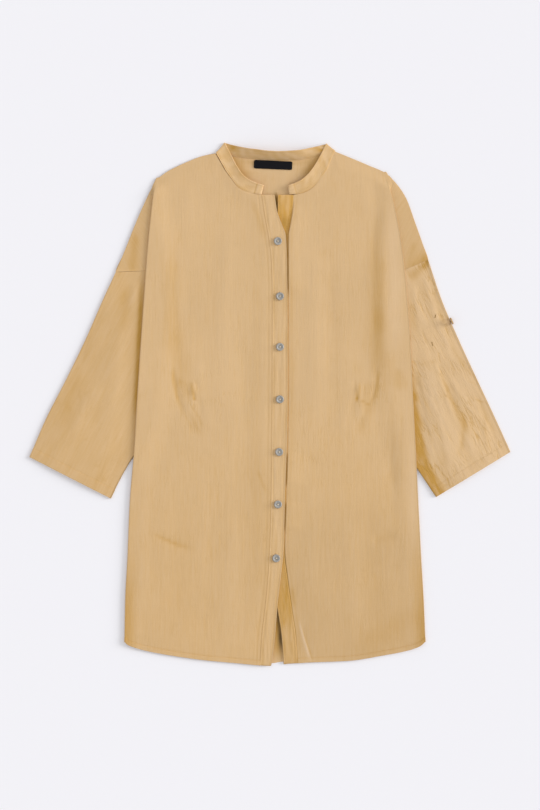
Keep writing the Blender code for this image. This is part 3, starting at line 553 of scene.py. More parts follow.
# Turns a grid of points into cloth. doubled is 1 where a hem is turned and 0 elsewhere.
def clothPiece(name, points, grain, replaced, doubled, paintedShading, paintedDarkening, wrinkle, ring=False, keep=None):
    rows, columns = points.shape[:2]
    faces = gridFaces(rows, columns, ring, keep)
    tones = [tone.reshape(-1) for tone in (paintedShading, paintedDarkening, wrinkle)]
    mesh, used = meshFrom(name, points.reshape(-1, 3), faces, cotton, grain.reshape(-1, 2), *tones)
    made = bpy.data.objects.new(name, mesh)
    shell = made.modifiers.new("wall", "SOLIDIFY")
    shell.thickness, shell.offset = cloth["wall"] * mm, 0.0
    group = made.vertex_groups.new(name="ply")
    ply = np.round(doubled.reshape(-1)[used] * 4) / 4
    for level in np.unique(ply):
        group.add(np.flatnonzero(ply == level).tolist(), mix(cloth["single"], 1.0, float(level)), "REPLACE")
    shell.vertex_group = "ply"
    return showPiece(made, "cloth", replaced)


# A doubled band: a closed section round a middle surface, soft at its edges and pinched at its seams
def bandPiece(name, middle, half, replaced, paintedShading, paintedDarkening, rolls=6):
    rows, columns = middle.shape[:2]
    lengthwise, across = np.gradient(middle, axis=0), np.gradient(middle, axis=1)
    normal = np.cross(across, lengthwise)
    normal /= np.linalg.norm(normal, axis=2, keepdims=True)
    across /= np.linalg.norm(across, axis=2, keepdims=True)
    half = half[..., None]
    front, rear = middle + normal * half, middle - normal * half
    turns = []
    for k in range(1, rolls):
        angle = math.pi * (0.5 - k / rolls)
        turns.append((math.cos(angle), math.sin(angle)))
    right = np.stack([middle[:, -1] + half[:, -1] * (across[:, -1] * c + normal[:, -1] * s)
                      for c, s in turns], 1)
    left = np.stack([middle[:, 0] + half[:, 0] * (-across[:, 0] * c - normal[:, 0] * s)
                     for c, s in turns], 1)
    ring = np.concatenate([front, right, rear[:, ::-1], left], 1)
    count = ring.shape[1]
    faces = [gridFaces(rows, count, ring=True)]
    rearAt = columns + rolls - 1 + np.arange(columns)[::-1]
    for row, flip in ((0, False), (rows - 1, True)):
        a, b = np.arange(columns - 1), np.arange(1, columns)
        cap = np.stack([a, b, rearAt[b], rearAt[a]], 1) + row * count
        faces.append(cap if flip else cap[:, ::-1])
        for start, other in ((columns - 1, 1), (columns + rolls - 1 + columns - 1, 1)):
            loop = [(start + k) % count for k in range(rolls + 1)]
            for k in range(rolls // 2):
                quad = [loop[k], loop[k + 1], loop[rolls - k - 1], loop[rolls - k]]
                if len(set(quad)) == 4:
                    face = np.array([quad]) + row * count
                    faces.append(face if flip else face[:, ::-1])
    width = np.cumsum(np.linalg.norm(np.diff(middle, axis=1, prepend=middle[:, :1]), axis=2), 1)
    run = np.cumsum(np.linalg.norm(np.diff(middle, axis=0, prepend=middle[:1]), axis=2), 0)
    around = []
    for layer in (np.dstack([width, run]), paintedShading, paintedDarkening):
        ends = np.repeat(layer[:, -1:], rolls - 1, 1), np.repeat(layer[:, :1], rolls - 1, 1)
        around.append(np.concatenate([layer, ends[0], layer[:, ::-1], ends[1]], 1))
    grain, paintedShading, paintedDarkening = around
    mesh, _ = meshFrom(name, ring.reshape(-1, 3), np.concatenate(faces), cotton, grain.reshape(-1, 2),
                       paintedShading.reshape(-1), paintedDarkening.reshape(-1))
    made = bpy.data.objects.new(name, mesh)
    return showPiece(made, "cloth", replaced), front, rear


# Front panels
frontPanel = {
    "neckColumns": 92, "shoulderColumns": 62,
    "turnColumns": 6, "returnColumns": 5, "lowerColumns": 14,
    "rowsBelow": 158, "rowsAbove": 44,
    "hemWidth": 7.5, "hemRows": 12,
    "sideStep": (-6.0, 34.0),
    # height of the ridge beside the under placket, with the painted shade and painted light of the slot beside it
    "lip": {"y": [334, 318, 300, 280, 262, 190, 170, -76, -86, -124, -134, -154, -164, -194, -206, -250,
                  -300, -418],
            "z": [2.8, 3.3, 4.2, 4.9, 5.0, 5.0, 3.0, 3.0, 4.6, 4.6, 3.1, 3.1, 4.6, 4.6, 2.9, 2.7, 2.5, 2.3],
            "tone": [0.2, 0.4, 0.7, 1.0, 1.0, 1.0, 0.1, 0.1, 1.0, 1.0, 0.1, 0.1, 1.0, 1.0, 0.3, 0.8, 0.8, 0.5],
            "paintedDarkening": [0, 0, 0, 0, 0, 0, -0.3, -0.3, 0, 0, -0.3, -0.3, 0, 0, -0.1, 0.28, 0.12, 0]},
    # painted shade on the layer over the arm, and where the cloth has been pushed together
    "armPaintedShades": {
        "left": [crease((-214, 282), (-222, 196), 7, 0.42), crease((-236, 262), (-246, 206), 8, 0.2)],
        "right": [crease((256, 246), (224, 200), 12, 0.5), crease((232, 262), (220, 214), 5, 0.3),
                  crease((252, 236), (246, 228), 4, 0.5)],
    },
    "pushed": {
        "left": [crease((-144, 40), (-112, -52), 20, 0.55), crease((-96, 60), (-60, -40), 24, 0.2)],
        "right": [crease((166, 60), (138, -52), 20, 0.55), crease((60, 10), (56, -150), 24, 0.22)],
    },
    "creases": {
        "left": [
            crease((-153.4, 268), (-154.0, 44), 9, -1.1, bend=2, right=16),
            crease((-154.0, 60), (-133, -22), 4.5, -0.7, bend=5, power=1.5),
            crease((-136, -12), (-112, -50), 8, -0.35, bend=2),
            crease((-126, 34), (-119.5, 6), 7.5, 0.8, bend=-2),
            crease((-121.0, 20), (-119.5, 4), 2.6, -0.9, power=1.6),
            crease((-121, 6), (-136, -30), 8, 0.35, bend=2),
            crease((-112, 0), (-92, -48), 10, 0.3, bend=-3),
            crease((-112, 70), (-118, -6), 10, 0.5),
            crease((-189, -204), (-110, -234), 7, -0.5, bend=4),
            crease((-206, 170), (-196, -60), 7, 0.6, bend=2),
            crease((-64, 300), (-76, -40), 16, 0.7, bend=4),
            crease((-44, 120), (-40, -160), 13, -0.5, bend=-3),
            crease((-60, -140), (-70, -404), 16, 0.4, bend=3),
            crease((-150, -120), (-156, -380), 15, -0.4, bend=-5),
            crease((-112, -90), (-106, -330), 13, 0.3),
            crease((-202, -90), (-210, -360), 12, 0.6),
            crease((-130, 352), (-136, 270), 14, 0.5),
            crease((-118, 44), (-108, -20), 5, -0.5, bend=2),
        ],
        "right": [
            crease((170.6, 332), (171.0, 50), 16, -1.2, bend=2, right=8),
            crease((171.0, 64), (156, -8), 4.5, -0.6, bend=-5, power=1.5),
            crease((158, 4), (136, -46), 7, -0.45, bend=-2),
            crease((143.5, 32), (138.5, 4), 7.5, 0.8, bend=2),
            crease((139.4, 20), (138.2, 3), 2.6, -0.9, power=1.6),
            crease((139, 6), (152, -32), 8, 0.35, bend=-2),
            crease((130, 0), (112, -48), 10, 0.3, bend=3),
            crease((188, 342), (190, 70), 7, 0.8, bend=-1),
            crease((214, 90), (216, -190), 11, 1.0, bend=1),
            crease((196, 46), (194, -190), 10, -0.6, bend=-2),
            crease((161.8, -222), (208, -211), 8, -0.9, bend=-3),
            crease((60, 300), (76, -40), 16, 0.7, bend=-4),
            crease((100, 260), (104, -120), 14, -0.5, bend=4),
            crease((64, -90), (72, -330), 13, 0.3),
            crease((45.5, -342), (65.5, -413), 2.6, 1.3, bend=1, right=2.6),
            crease((50.5, -346), (70, -414), 3.0, -0.7, bend=1, right=6),
            crease((120, -160), (134, -404), 16, 0.4, bend=-4),
            crease((160, -120), (170, -380), 15, -0.4, bend=5),
            crease((216, -90), (226, -360), 12, 0.4),
            crease((150, 360), (158, 300), 14, 0.5),
            crease((136, 44), (128, -20), 5, -0.5, bend=-2),
        ],
    },
    "paintedShades": {           # painted shade and painted highlights along the same lines
        "left": [
            crease((-153.5, 262), (-154, 60), 10, 0.15, right=13),
            crease((-149, 128), (-140, 16), 14, 0.20),
            crease((-155, 60), (-136, -18), 4.4, 0.42, bend=5, right=3.4),
            crease((-148, 44), (-124, 6), 9, 0.30),
            crease((-138, -12), (-120, -46), 2.4, 0.18),
            crease((-131, -8), (-108, -54), 3.4, 0.22),
            crease((-121, -6), (-104, -40), 2.4, 0.22),
            crease((-127.5, 38), (-121.0, 8), 4.4, 0.50, right=2.8),
            crease((-121.8, 13), (-119.8, 6), 2.2, 0.85),
            crease((-20, -104), (-6, -142), 3, 0.28),
            crease((-206, 320), (-214, -60), 3, 0.30),
            crease((-189, -205), (-122, -231), 3.0, 0.30, bend=3),
            crease((-20, 240), (-22, -300), 8, 0.10),
            crease((-30, 330), (-6, 262), 5, 0.22),
        ],
        "right": [
            crease((168, 290), (171, 20), 20, 0.24, right=12),
            crease((170, 180), (174, 14), 14, 0.20, right=8),
            crease((158, 40), (150, -16), 17, 0.22, right=12),
            crease((171.5, 56), (160, -2), 3.4, 0.45, bend=-5, right=2.4),
            crease((160, 0), (140, -50), 8, 0.22, bend=-2),
            crease((144.5, 34), (139.8, 8), 2.6, 0.45, right=5),
            crease((140.6, 14), (137.8, 4), 2.4, 0.80),
            crease((139, 10), (163, -3), 1.8, 0.40),
            crease((196, 330), (200, 60), 12, -0.5, bend=-3),
            crease((206, 60), (208, 20), 10, 0.26),
            crease((240, -330), (120, -404), 20, 0.16),
            crease((210, 30), (212, -200), 5, 0.14),
            crease((226, -40), (230, -240), 5, -0.35),
            crease((49.6, -350), (69.4, -412), 1.3, 0.55, bend=1),
            crease((46.8, -346), (66.4, -413), 1.6, -1.3, bend=1),
            crease((34, -290), (40, -330), 4, 0.3),
            crease((38, -346), (50, -404), 2, 0.22),
            crease((34, 240), (36, -120), 6, 0.12),
        ],
    },
}


def neckline(side):
    band = collar["right" if side["sign"] > 0 else "left"]
    path = [(x, y) for x, y in zip(band["seamX"], band["seamY"])][::-1]
    path[0] = (float(centreX(side, placketLines["y"][0])), placketLines["y"][0])
    return path


def frontEdges(side):
    inset = side["sign"] * (0.5 + layers["sideTurn"])
    corner = bodySide[side["key"]][-1]
    seamStart = float(centreX(side, lowestY))
    shoulder = side["shoulder"][:-1] + [(side["foldStart"][0] - inset, side["foldStart"][1])]
    neckShare = 9 / 15
    bottomY, topY = float(hemY(corner - inset)), side["foldStart"][1]

    def hem(u):
        x = mix(seamStart, corner - inset, u)
        return np.stack([x, hemY(x)], -1)

    def upper(u):
        return alongEach([neckline(side), shoulder], [neckShare, 1.0], u)

    def centre(v):
        y = mix(float(hemY(seamStart)), placketLines["y"][0], v)
        return np.stack([centreX(side, y), y], -1)

    def outer(v):
        y = mix(bottomY, topY, v)
        return np.stack([sideX(side, y) - inset, y], -1)

    drop = (side["dropInner"] - bottomY) / (topY - bottomY)
    return hem, upper, centre, outer, drop


# Half turn, return, second half turn and, above the drop seam, a lower layer out to the silhouette
def sideFold(side, start, withLower):
    sign, f = side["sign"], frontPanel
    x0, y0, topZ = start
    turn = layers["sideTurn"]
    edgeX = x0 + sign * turn
    lowZ = mix(layers["onBack"], layers["sleeveTop"], float(ease(side["foldStart"][1] - y0, 0, 28.0)))
    flatZ = float(returnZ(side, y0))
    if withLower:
        flatZ = mix(lowZ, topZ, 1.4 / (layers["frontOnSleeve"] - layers["sleeveTop"]))
    first, second = (topZ - flatZ) / 2, max((flatZ - lowZ) / 2, 0.0)
    run = max(float(depthUnder(side, y0)) - first - second, 0.6)
    n, m, low = f["turnColumns"], f["returnColumns"], f["lowerColumns"]
    angles = np.pi * (0.5 - np.arange(1, n + 1) / n)
    turnX = edgeX - sign * turn
    xs = [*(turnX + sign * first * np.cos(angles)), *(turnX - sign * run * np.arange(1, m + 1) / m)]
    zs = [*(flatZ + first + first * np.sin(angles)), *[flatZ] * m]
    innerX = turnX - sign * run
    if not withLower:
        spare = n + low
        return np.stack([xs + [innerX] * spare, [y0] * (len(xs) + spare), zs + [flatZ] * spare], 1)
    xs = np.array(xs + list(innerX - sign * second * np.cos(angles)))
    zs = np.array(zs + list(lowZ + second + second * np.sin(angles)))
    folded = float(ease(side["foldStart"][1] - y0, 14.0, 34.0))
    share = (y0 - side["dropInner"]) / (side["foldStart"][1] - side["dropInner"])
    outerY = mix(side["dropOuter"], side["outerTop"], share)
    outerX = float(outlineX(side, outerY))
    advance = min(12.0, 0.8 * abs(outerX - x0))
    step = np.arange(1, len(xs) + 1) / len(xs)
    xs = mix(x0 + sign * advance * step, xs, folded)
    zs = mix(mix(topZ, lowZ, ease(step, 0, 1)), zs, folded)
    k = np.append(np.arange(1, low) / (low - 1), 1.0)
    k[-2] = 1 - cloth["rim"] / max(abs(outerX - xs[-1]), 4 * cloth["rim"])
    lowerX = mix(xs[-1], outerX, k)
    lowerZ = mix(lowZ, layers["onBack"], ease(k, 0.5, 1.0))
    xs, zs = np.concatenate([xs, lowerX]), np.concatenate([zs, lowerZ])
    seamStart = min(xs[n + m + n - 1] * sign, innerX * sign) * sign
    lower = np.arange(len(xs)) >= n + m
    share = np.where(lower, np.clip((xs - seamStart) / (outerX - seamStart), 0, None), 0.0)
    return np.stack([xs, mix(y0, outerY, share), zs], 1)


def frontCloth(name, side, replaced):
    f = frontPanel
    hem, upper, centre, outer, drop = frontEdges(side)
    height = 760.0
    low = np.linspace(0, f["hemWidth"] * 1.5 / height, f["hemRows"], endpoint=False)
    low = np.concatenate([low, np.linspace(f["hemWidth"] * 1.5 / height, drop, f["rowsBelow"], endpoint=False)])
    v = np.concatenate([low, drop + (1 - drop) * np.linspace(0, 1, f["rowsAbove"] + 1) ** 0.85])
    rim = cloth["rim"] / height
    v = np.sort(np.concatenate([v, [rim, drop + rim, 1 - rim]]))
    neckPart = np.linspace(0, 0.6, f["neckColumns"] + 1)
    edgePart = np.array([0.0, 0.0018, 0.0042, 0.0075, 0.011])
    u = np.concatenate([edgePart, neckPart[2:], np.linspace(0.6, 1, f["shoulderColumns"] + 1)[1:]])
    plan = patch(hem, upper, centre, outer, u, v)
    toHem = np.linalg.norm(plan - hem(u)[None], axis=2)
    toNeck = np.linalg.norm(plan - upper(u)[None], axis=2)
    toCentre = np.linalg.norm(plan - centre(v)[:, None], axis=2)
    toSide = np.linalg.norm(plan - outer(v)[:, None], axis=2)
    x, y = plan[..., 0], plan[..., 1]
    seed = 40 if side["sign"] > 0 else 20
    creases = creaseHeight(f["creases"][side["key"]], x, y, seed)
    z = layers["front"] + creases
    z = mix(layers["hem"], z, ease(toHem, 0, 28.0))
    if side["sign"] > 0:
        lip = mix(readCurve(f["lip"]["y"], f["lip"]["z"], y), z, ease(toCentre, 3, 40))
        z = mix(centreZ(side, y), lip, ease(toCentre, 0.4, 2.2))
    else:
        z = mix(centreZ(side, y), z, ease(toCentre, 0, 40))
    depth = depthUnder(side, y)
    start = np.maximum(depth + f["sideStep"][0], 0.0)
    step = ease((toSide - start) / (depth + f["sideStep"][1] - start), 0.0, 1.0)
    edgeZ = returnZ(side, y) + 2 * layers["sideTurn"]
    z = mix(mix(2.7, edgeZ, ease(side["foldStart"][1] - y, 0, 26)), z, step)
    rim = mix(centreZ(side, y), layers["neck"], ease(np.abs(x), 25.0, 60.0))
    rim = mix(rim, layers["onBack"], ease(np.abs(x), 78.0 if side["sign"] > 0 else 58.0, 112.0))
    z = mix(rim, z, ease(toNeck, 0, 28.0))
    z = np.maximum(z, layers["onBack"])
    calm = ease(toSide, 0, 9) * ease(toCentre, 1, 7) * ease(toNeck, 1, 10) * mix(0.35, 1.0, ease(toHem, 4, 14))
    z = z + calm * crinkle(x, y, seed)
    z = z + ease(toSide, 0, 4) * groove(toHem, f["hemWidth"], 0.9, 0.28)
    if side["sign"] < 0:
        z = z + groove(toCentre, 7.0, 1.3, 0.16) + groove(toCentre, 0.0, 1.2, 0.10)
    top = np.dstack([x + side["sign"] * ease(-toCentre, -0.01, 0) * 0.25, y, z])
    belowCount = len(low) + 1
    rows = [np.concatenate([row, sideFold(side, row[-1], r >= belowCount)]) for r, row in enumerate(top)]
    points = np.array(rows)
    mainCount, folds = len(u), points.shape[1] - len(u)
    gx = np.cumsum(np.linalg.norm(np.diff(points, axis=1, prepend=points[:, :1]), axis=2), 1)
    grain = np.dstack([gx * 1.0, points[..., 1]])
    grain[:, :mainCount, 0] = x
    grain[:, mainCount:, 0] = x[:, -1:] + side["sign"] * (gx[:, mainCount:] - gx[:, mainCount - 1:mainCount])
    spread = np.concatenate([toHem, np.repeat(toHem[:, -1:], folds, 1)], 1)
    doubled = ease(-spread, -f["hemWidth"] - 0.6, -f["hemWidth"] + 0.6)
    paintedShading = np.zeros(points.shape[:2])
    # Painted shade along the creases, in the crinkle valleys, along the listed lines, at the lower sides and towards
    # the hem;
    paintedShades = creaseHeight(f["paintedShades"][side["key"]], x, y, seed + 300)
    # painted highlights where creases and crinkles rise and where the listed lines run below zero
    ripple = np.clip(-crinkle(x, y, seed) / 0.3, -1, 1)
    lowSideShade = ease(-toSide, -26, 0) * ease(-y, 190, 360) * 0.6
    paintedShading[:, :mainCount] = 0.12 * np.clip(-creases, -1, 1) + 0.10 * ripple + paintedShades
    paintedShading[:, :mainCount] += lowSideShade + 0.13 * ease(-y, -40, 220)
    # painted shade along the stitch grooves of the placket seam and the hem
    seamLine = np.exp(-((toCentre - 6.2) / 1.6) ** 2) + np.exp(-((toHem - f["hemWidth"]) / 1.6) ** 2)
    paintedShading[:, :mainCount] += 0.15 * seamLine * ease(toCentre, -1, 2)
    # painted shade in the slot beside the placket edge
    slotShade = readCurve(f["lip"]["y"], f["lip"]["tone"], y) if side["sign"] > 0 else 0.25
    paintedShading[:, :mainCount] += ease(-toCentre, -2.2, -1.2) * slotShade
    paintedShading[:, mainCount:] = 0.12
    paintedDarkening = np.zeros(points.shape[:2])
    # Painted shade beside the under placket and towards the hem on the viewer's right; painted light along the placket
    # and collar seam on the viewer's left
    if side["sign"] > 0:
        paintedDarkening[:, :mainCount] += ease(-toCentre, -2.6, -1.4) * readCurve(f["lip"]["y"], f["lip"]["paintedDarkening"], y)
        paintedDarkening[:, :mainCount] += 0.06 * ease(-y, 120, 260)
    else:
        paintedDarkening[:, :mainCount] -= 0.12 * ease(-toCentre, -1.6, -0.4) + 0.16 * ease(-toNeck, -1.4, -0.4) * ease(-x, 10, 40)
        paintedDarkening[:, :mainCount] -= 0.4 * ease(-toNeck, -0.45, 0) * ease(-x, 40, 62)
    # Painted shade on the turn of the side fold on the viewer's right, which faces the lamp, and where the fold begins
    turned = slice(mainCount - 1, mainCount + f["turnColumns"] + 1)
    below = side["foldStart"][1] - points[:, mainCount, 1:2]
    paintedDarkening[:, turned] = (0.26 if side["sign"] > 0 else 0.0) * ease(below, 14, 60)
    bend = slice(mainCount - 1, mainCount + 2 * f["turnColumns"] + f["returnColumns"])
    paintedDarkening[:, bend] += 0.13 * np.exp(-((below - 22) / 9) ** 2)
    lowerLayer = slice(mainCount + f["turnColumns"] + f["returnColumns"], None)
    lowX, lowY = points[:, lowerLayer, 0], points[:, lowerLayer, 1]
    # painted shade on the layer over the arm
    paintedShading[:, lowerLayer] += creaseHeight(f["armPaintedShades"][side["key"]], lowX, lowY, 700)
    # painted light along the drop seam on the viewer's left, slight painted shade on the right
    paintedDarkening[belowCount:belowCount + 2, lowerLayer] = -0.06 if side["sign"] < 0 else 0.03
    # how far the cloth is pushed together: thin wrinkles in relief and in painted shade
    wrinkle = np.zeros(points.shape[:2])
    wrinkle[:, :mainCount] = 0.2 + np.clip(creaseHeight(f["pushed"][side["key"]], x, y, 720), 0, 1)
    wrinkle[:, lowerLayer] = 0.1 + (0.5 * ease(-lowY, -236, -206) if side["sign"] > 0 else 0.0)
    lowerStart = mainCount + f["turnColumns"] + f["returnColumns"]
    made = clothPiece(name, points, grain, replaced, doubled, paintedShading, paintedDarkening, wrinkle,
                      keep=lambda r, c: (r >= belowCount) | (c < lowerStart))
    return made, points, dict(toHem=toHem, toCentre=toCentre, main=mainCount, below=belowCount)


# Collar
collar = {
    "left": {
        "seamX": [-85.4, -77.4, -69.8, -60.6, -48.6, -32.6, -13.3],
        "seamY": [401.3, 386.9, 373.3, 360.5, 345.3, 338.2, 335.7],
        "seamZ": [2.7, 3.0, 3.4, 3.6, 3.8, 4.1, 4.4],
        "topX": [-72.0, -63.8, -53.4, -43.0, -31.8, -21.4, -9.8],
        "topY": [417.4, 401.3, 381.3, 366.1, 357.6, 352.8, 349.3],
        "topZ": [2.7, 4.2, 5.7, 6.9, 7.6, 7.9, 7.9],
    },
    "right": {
        "seamX": [103.7, 97.0, 91.4, 81.8, 68.6, 50.6, 30.6],
        "seamY": [404.3, 390.1, 375.7, 362.1, 346.1, 337.0, 335.8],
        "seamZ": [2.7, 3.0, 3.4, 3.4, 3.2, 3.0, 3.0],
        "topX": [90.1, 82.6, 72.2, 61.0, 49.0, 38.6, 28.3],
        "topY": [415.6, 400.5, 382.1, 367.2, 357.3, 352.5, 348.5],
        "topZ": [2.7, 4.1, 5.2, 6.0, 6.4, 6.4, 6.0],
    },
    "back": {
        "seamX": [-85.4, -55.8, -27.0, 13.0, 41.8, 73.8, 103.7],
        "seamY": [401.3, 395.7, 392.5, 390.4, 390.6, 396.3, 404.3],
        "seamZ": [0.7, 0.7, 0.7, 0.7, 0.7, 0.7, 0.7],
        "topX": [-72.0, -55.8, -27.0, 13.0, 41.8, 69.0, 90.1],
        "topY": [417.4, 412.6, 407.0, 403.0, 404.6, 410.2, 415.6],
        "topZ": [0.7, 4.5, 10.0, 12.0, 10.5, 4.5, 0.7],
    },
    "columns": 15, "frontRows": 64, "backRows": 110, "turnRows": 8,
    "seamGap": 0.12, "endBlock": 11.5,
}


def stations(band, count, backwards=False):
    seam = np.array([band["seamX"], band["seamY"], band["seamZ"]]).T
    top = np.array([band["topX"], band["topY"], band["topZ"]]).T
    if backwards:
        seam, top = seam[::-1], top[::-1]
    share = np.linspace(0, 1, count)
    return along(seam, share), along(top, share)


def collarBand():
    c = collar
    leftSeam, leftTop = stations(c["left"], c["frontRows"], True)
    backSeam, backTop = stations(c["back"], c["backRows"])
    rightSeam, rightTop = stations(c["right"], c["frontRows"])

    def fold(front, rear, sign):
        (s0, t0), (s1, _) = front, rear
        line = (t0 - s0)[:2]
        out = np.array([-line[1], line[0]]) / np.hypot(*line)
        out = out if out[0] * sign > 0 else -out
        radius = (s0[2] - s1[2]) / 2
        angles = np.pi * (0.5 - np.arange(1, c["turnRows"]) / c["turnRows"])
        move = np.stack([out[0] * radius * np.cos(angles), out[1] * radius * np.cos(angles),
                         radius * (np.sin(angles) - 1)], 1)
        return s0 + move, t0 + move

    a = fold((leftSeam[-1], leftTop[-1]), (backSeam[0], None), -1)
    b = fold((rightSeam[0], rightTop[0]), (backSeam[-1], None), 1)
    seam = np.concatenate([leftSeam, a[0], backSeam, b[0][::-1], rightSeam])
    top = np.concatenate([leftTop, a[1], backTop, b[1][::-1], rightTop])
    width = np.linalg.norm(top - seam, axis=1, keepdims=True)
    start = seam + (top - seam) / width * c["seamGap"]
    share = np.linspace(0, 1, c["columns"])
    middle = mix(start[:, None], top[:, None], share[None, :, None])
    run = np.concatenate([[0], np.cumsum(np.linalg.norm(np.diff(seam, axis=0), axis=1))])
    # A slight roll across the band and small waves along it
    arch = 4 * share * (1 - share)
    lift = 0.5 * arch[None] + 0.22 * streaks(run[:, None] + 0 * share[None], share[None] * 20 + 0 * run[:, None], 9, 14, 71)
    flat = np.gradient(middle, axis=1)
    lengthwise = np.gradient(middle, axis=0)
    normal = np.cross(flat, lengthwise)
    normal /= np.linalg.norm(normal, axis=2, keepdims=True)
    middle = middle - normal * (lift * ease(share[None], 0, 0.3))[..., None]
    across = width * share[None]
    half = np.full(middle.shape[:2], cloth["band"] / 2)
    half = half + 0.11 * ease(share, 0.86, 1.0)[None]
    half = half * mix(0.62, 1.0, ease(width * share[None], 0.0, 2.6))
    pinch = np.exp(-((across - 1.7) / 0.7) ** 2) + np.exp(-((across - (width - 2.0)) / 0.8) ** 2)
    half = half - 0.14 * pinch
    fromEnd = np.minimum(run, run[-1] - run)
    half = half * mix(0.35, 1.0, ease(fromEnd, 0, 1.2))[:, None]
    blockLine = np.exp(-((fromEnd - c["endBlock"]) / 0.9) ** 2)[:, None]
    half = half - 0.3 * blockLine
    block = ease(-fromEnd, -c["endBlock"] - 0.6, -c["endBlock"] + 0.6)[:, None]
    middle[..., 2] += 0.45 * block * ease(fromEnd, -1, 3)[:, None]
    turns = run[c["frontRows"] + 4], run[-c["frontRows"] - 4]
    inner = (run > turns[0]) & (run < turns[1])
    nearTurn = np.where(inner, np.minimum(run - turns[0], turns[1] - run), 90.0)
    corner = np.exp(-((nearTurn - 14) / 13) ** 2)[:, None]
    # Painted shade along the end block's line, in the pinched stitch lines, in mottles and at the inside corners; the
    # end block painted paler
    paintedShading = 0.14 + 0.55 * blockLine + 0.22 * pinch - 0.25 * block
    mottledShade = streaks(run[:, None] + 0.6 * across, across, 8, 11, 74)
    paintedShading = paintedShading + 0.26 * mottledShade + corner * (0.4 + 0.4 * mottledShade)
    # Painted light on both front parts of the band, most on the viewer's left, and more along its seam edge there
    paintedDarkening = np.select([inner, run <= turns[0]], [0.0, -0.15], -0.05)[:, None] + 0 * half
    lit = np.where(run <= turns[0], 0.5, 0.0)[:, None] * ease(-middle[..., 0], 40, 62)
    paintedDarkening = paintedDarkening - lit * ease(-across, -1.1, -0.1)
    made, front, rear = bandPiece("collar", middle, half, "collar_band", paintedShading, paintedDarkening)
    backRows = slice(c["frontRows"] + c["turnRows"] - 1, c["frontRows"] + c["turnRows"] - 1 + c["backRows"])
    face = front.copy()
    face[backRows] = rear[backRows]
    return made, face, across


# Plackets
placketBand = {"columns": 21, "rows": 300, "seamGap": 0.15, "stitchIn": 2.6, "puff": 0.16}


def placketPiece(name, seam, edge, level, replaced, seed, tone, paintedDarkeningAt):
    p = placketBand
    v = np.linspace(0, 1, p["rows"])
    yRow = mix(lowestY, placketLines["y"][0], v)
    seamX = readCurve(placketLines["y"], placketLines[seam], yRow)
    edgeX = readCurve(placketLines["y"], placketLines[edge], yRow)
    sign = 1 if edgeX[0] > seamX[0] else -1
    seamX = seamX + sign * p["seamGap"]
    u = np.linspace(0, 1, p["columns"])
    x = mix(seamX[:, None], edgeX[:, None], u[None])
    y = yRow[:, None] + (hemY(x) - lowestY) * ease(1 - v, 0.8, 1.0)[:, None]
    width = np.abs(edgeX - seamX)[:, None]
    inFrom = u[None] * width
    inset = ease(np.minimum(inFrom, width - inFrom), 0.4, 5)
    z = level(y) + inset * (0.14 * streaks(x, y, 2.6, 26, seed) + 0.18 * streaks(x, y, 7, 42, seed + 1))
    z = z + 0.16 * streaks(x * 0.2, y, 30, 9, seed + 2) * ease(inFrom, 0.3, 3)
    half = np.full(z.shape, cloth["band"] / 2)
    x -= (sign * ease(inFrom - width, -3, 0) * cloth["band"] / 2)
    middle = np.dstack([x, y, z])
    lines = [inFrom - p["stitchIn"], width - inFrom - p["stitchIn"]]
    for line in lines:
        half = half - 0.17 * np.exp(-(line / 0.9) ** 2)
    half = half + p["puff"] * 0.5 * (ease(-inFrom, -2.0, 0) + ease(inFrom - width, -2.0, 0))
    fromEnd = np.minimum(v, 1 - v) * (placketLines["y"][0] - lowestY)
    half = half * mix(0.35, 1.0, ease(fromEnd, 0, 1.4))[:, None]
    half = half - 0.15 * np.exp(-((fromEnd[:, None] - 7.5) / 1.0) ** 2) * (v < 0.5)[:, None]
    # Painted shade along the stitch lines, with random streaks of tone; painted shade on the free edge, which faces the
    # lamp
    stitched = sum(np.exp(-(line / 1.2) ** 2) for line in lines)
    paintedShading = tone(x, y) + 0.2 * stitched + 0.12 * streaks(x, y, 3.4, 40, seed + 5)
    paintedDarkening = 0.22 * ease(inFrom - width, -0.7, -0.1) + paintedDarkeningAt(x, y)
    if sign < 0:
        middle, half, paintedShading, paintedDarkening = (grid[:, ::-1] for grid in (middle, half, paintedShading, paintedDarkening))
    made, front, _ = bandPiece(name, middle, half, replaced, paintedShading, paintedDarkening)
    across = np.cumsum(np.linalg.norm(np.diff(middle, axis=1, prepend=middle[:, :1]), axis=2), 1)
    return made, front, across


# Back
backPanel = {
    "columns": 168, "rows": 128, "sideInset": 0.6, "underarmInset": 7.0,
    "sideBend": [(3.0, -24.0), (13.0, -49.0), (22.5, -80.0)],
    "hemRise": 4.2, "hemWidth": 7.5, "shoulderShare": 5 / 28,
    "creases": [
        crease((-40, 383), (44, 381), 5, -0.35, bend=-2),
        crease((-58, 372), (66, 374), 7, 0.35, bend=-3),
        crease((20, 340), (24, 382), 6, 0.3),
    ],
    # painted shade at the inside corners of the neck, along the collar seam and in the gaps between the plackets
    "paintedShades": [
        crease((-66, 404), (-34, 350), 13, 0.75, right=13),
        crease((88, 404), (56, 350), 13, 0.75, right=13),
        crease((-60, 392), (80, 392), 5, 0.3, bend=6),
        crease((-50, 375), (-8, 369), 2.5, 0.16),
        crease((30, 372), (70, 374), 2.5, 0.16),
        crease((12, 300), (13, 338), 20, 0.35),
        crease((9, 340), (12, 300), 3.5, 0.9),
        crease((11, -330), (15, -414), 9, 0.95),
    ],
    # painted shadows, carried as darkening
    "shadows": [
        crease((8.5, 342), (12, 306), 3.2, 0.62),
        crease((-16, 337.5), (12, 336.5), 1.8, 0.35),
        crease((11.6, -306), (19.4, -402), 3.8, 0.86),
    ],
}


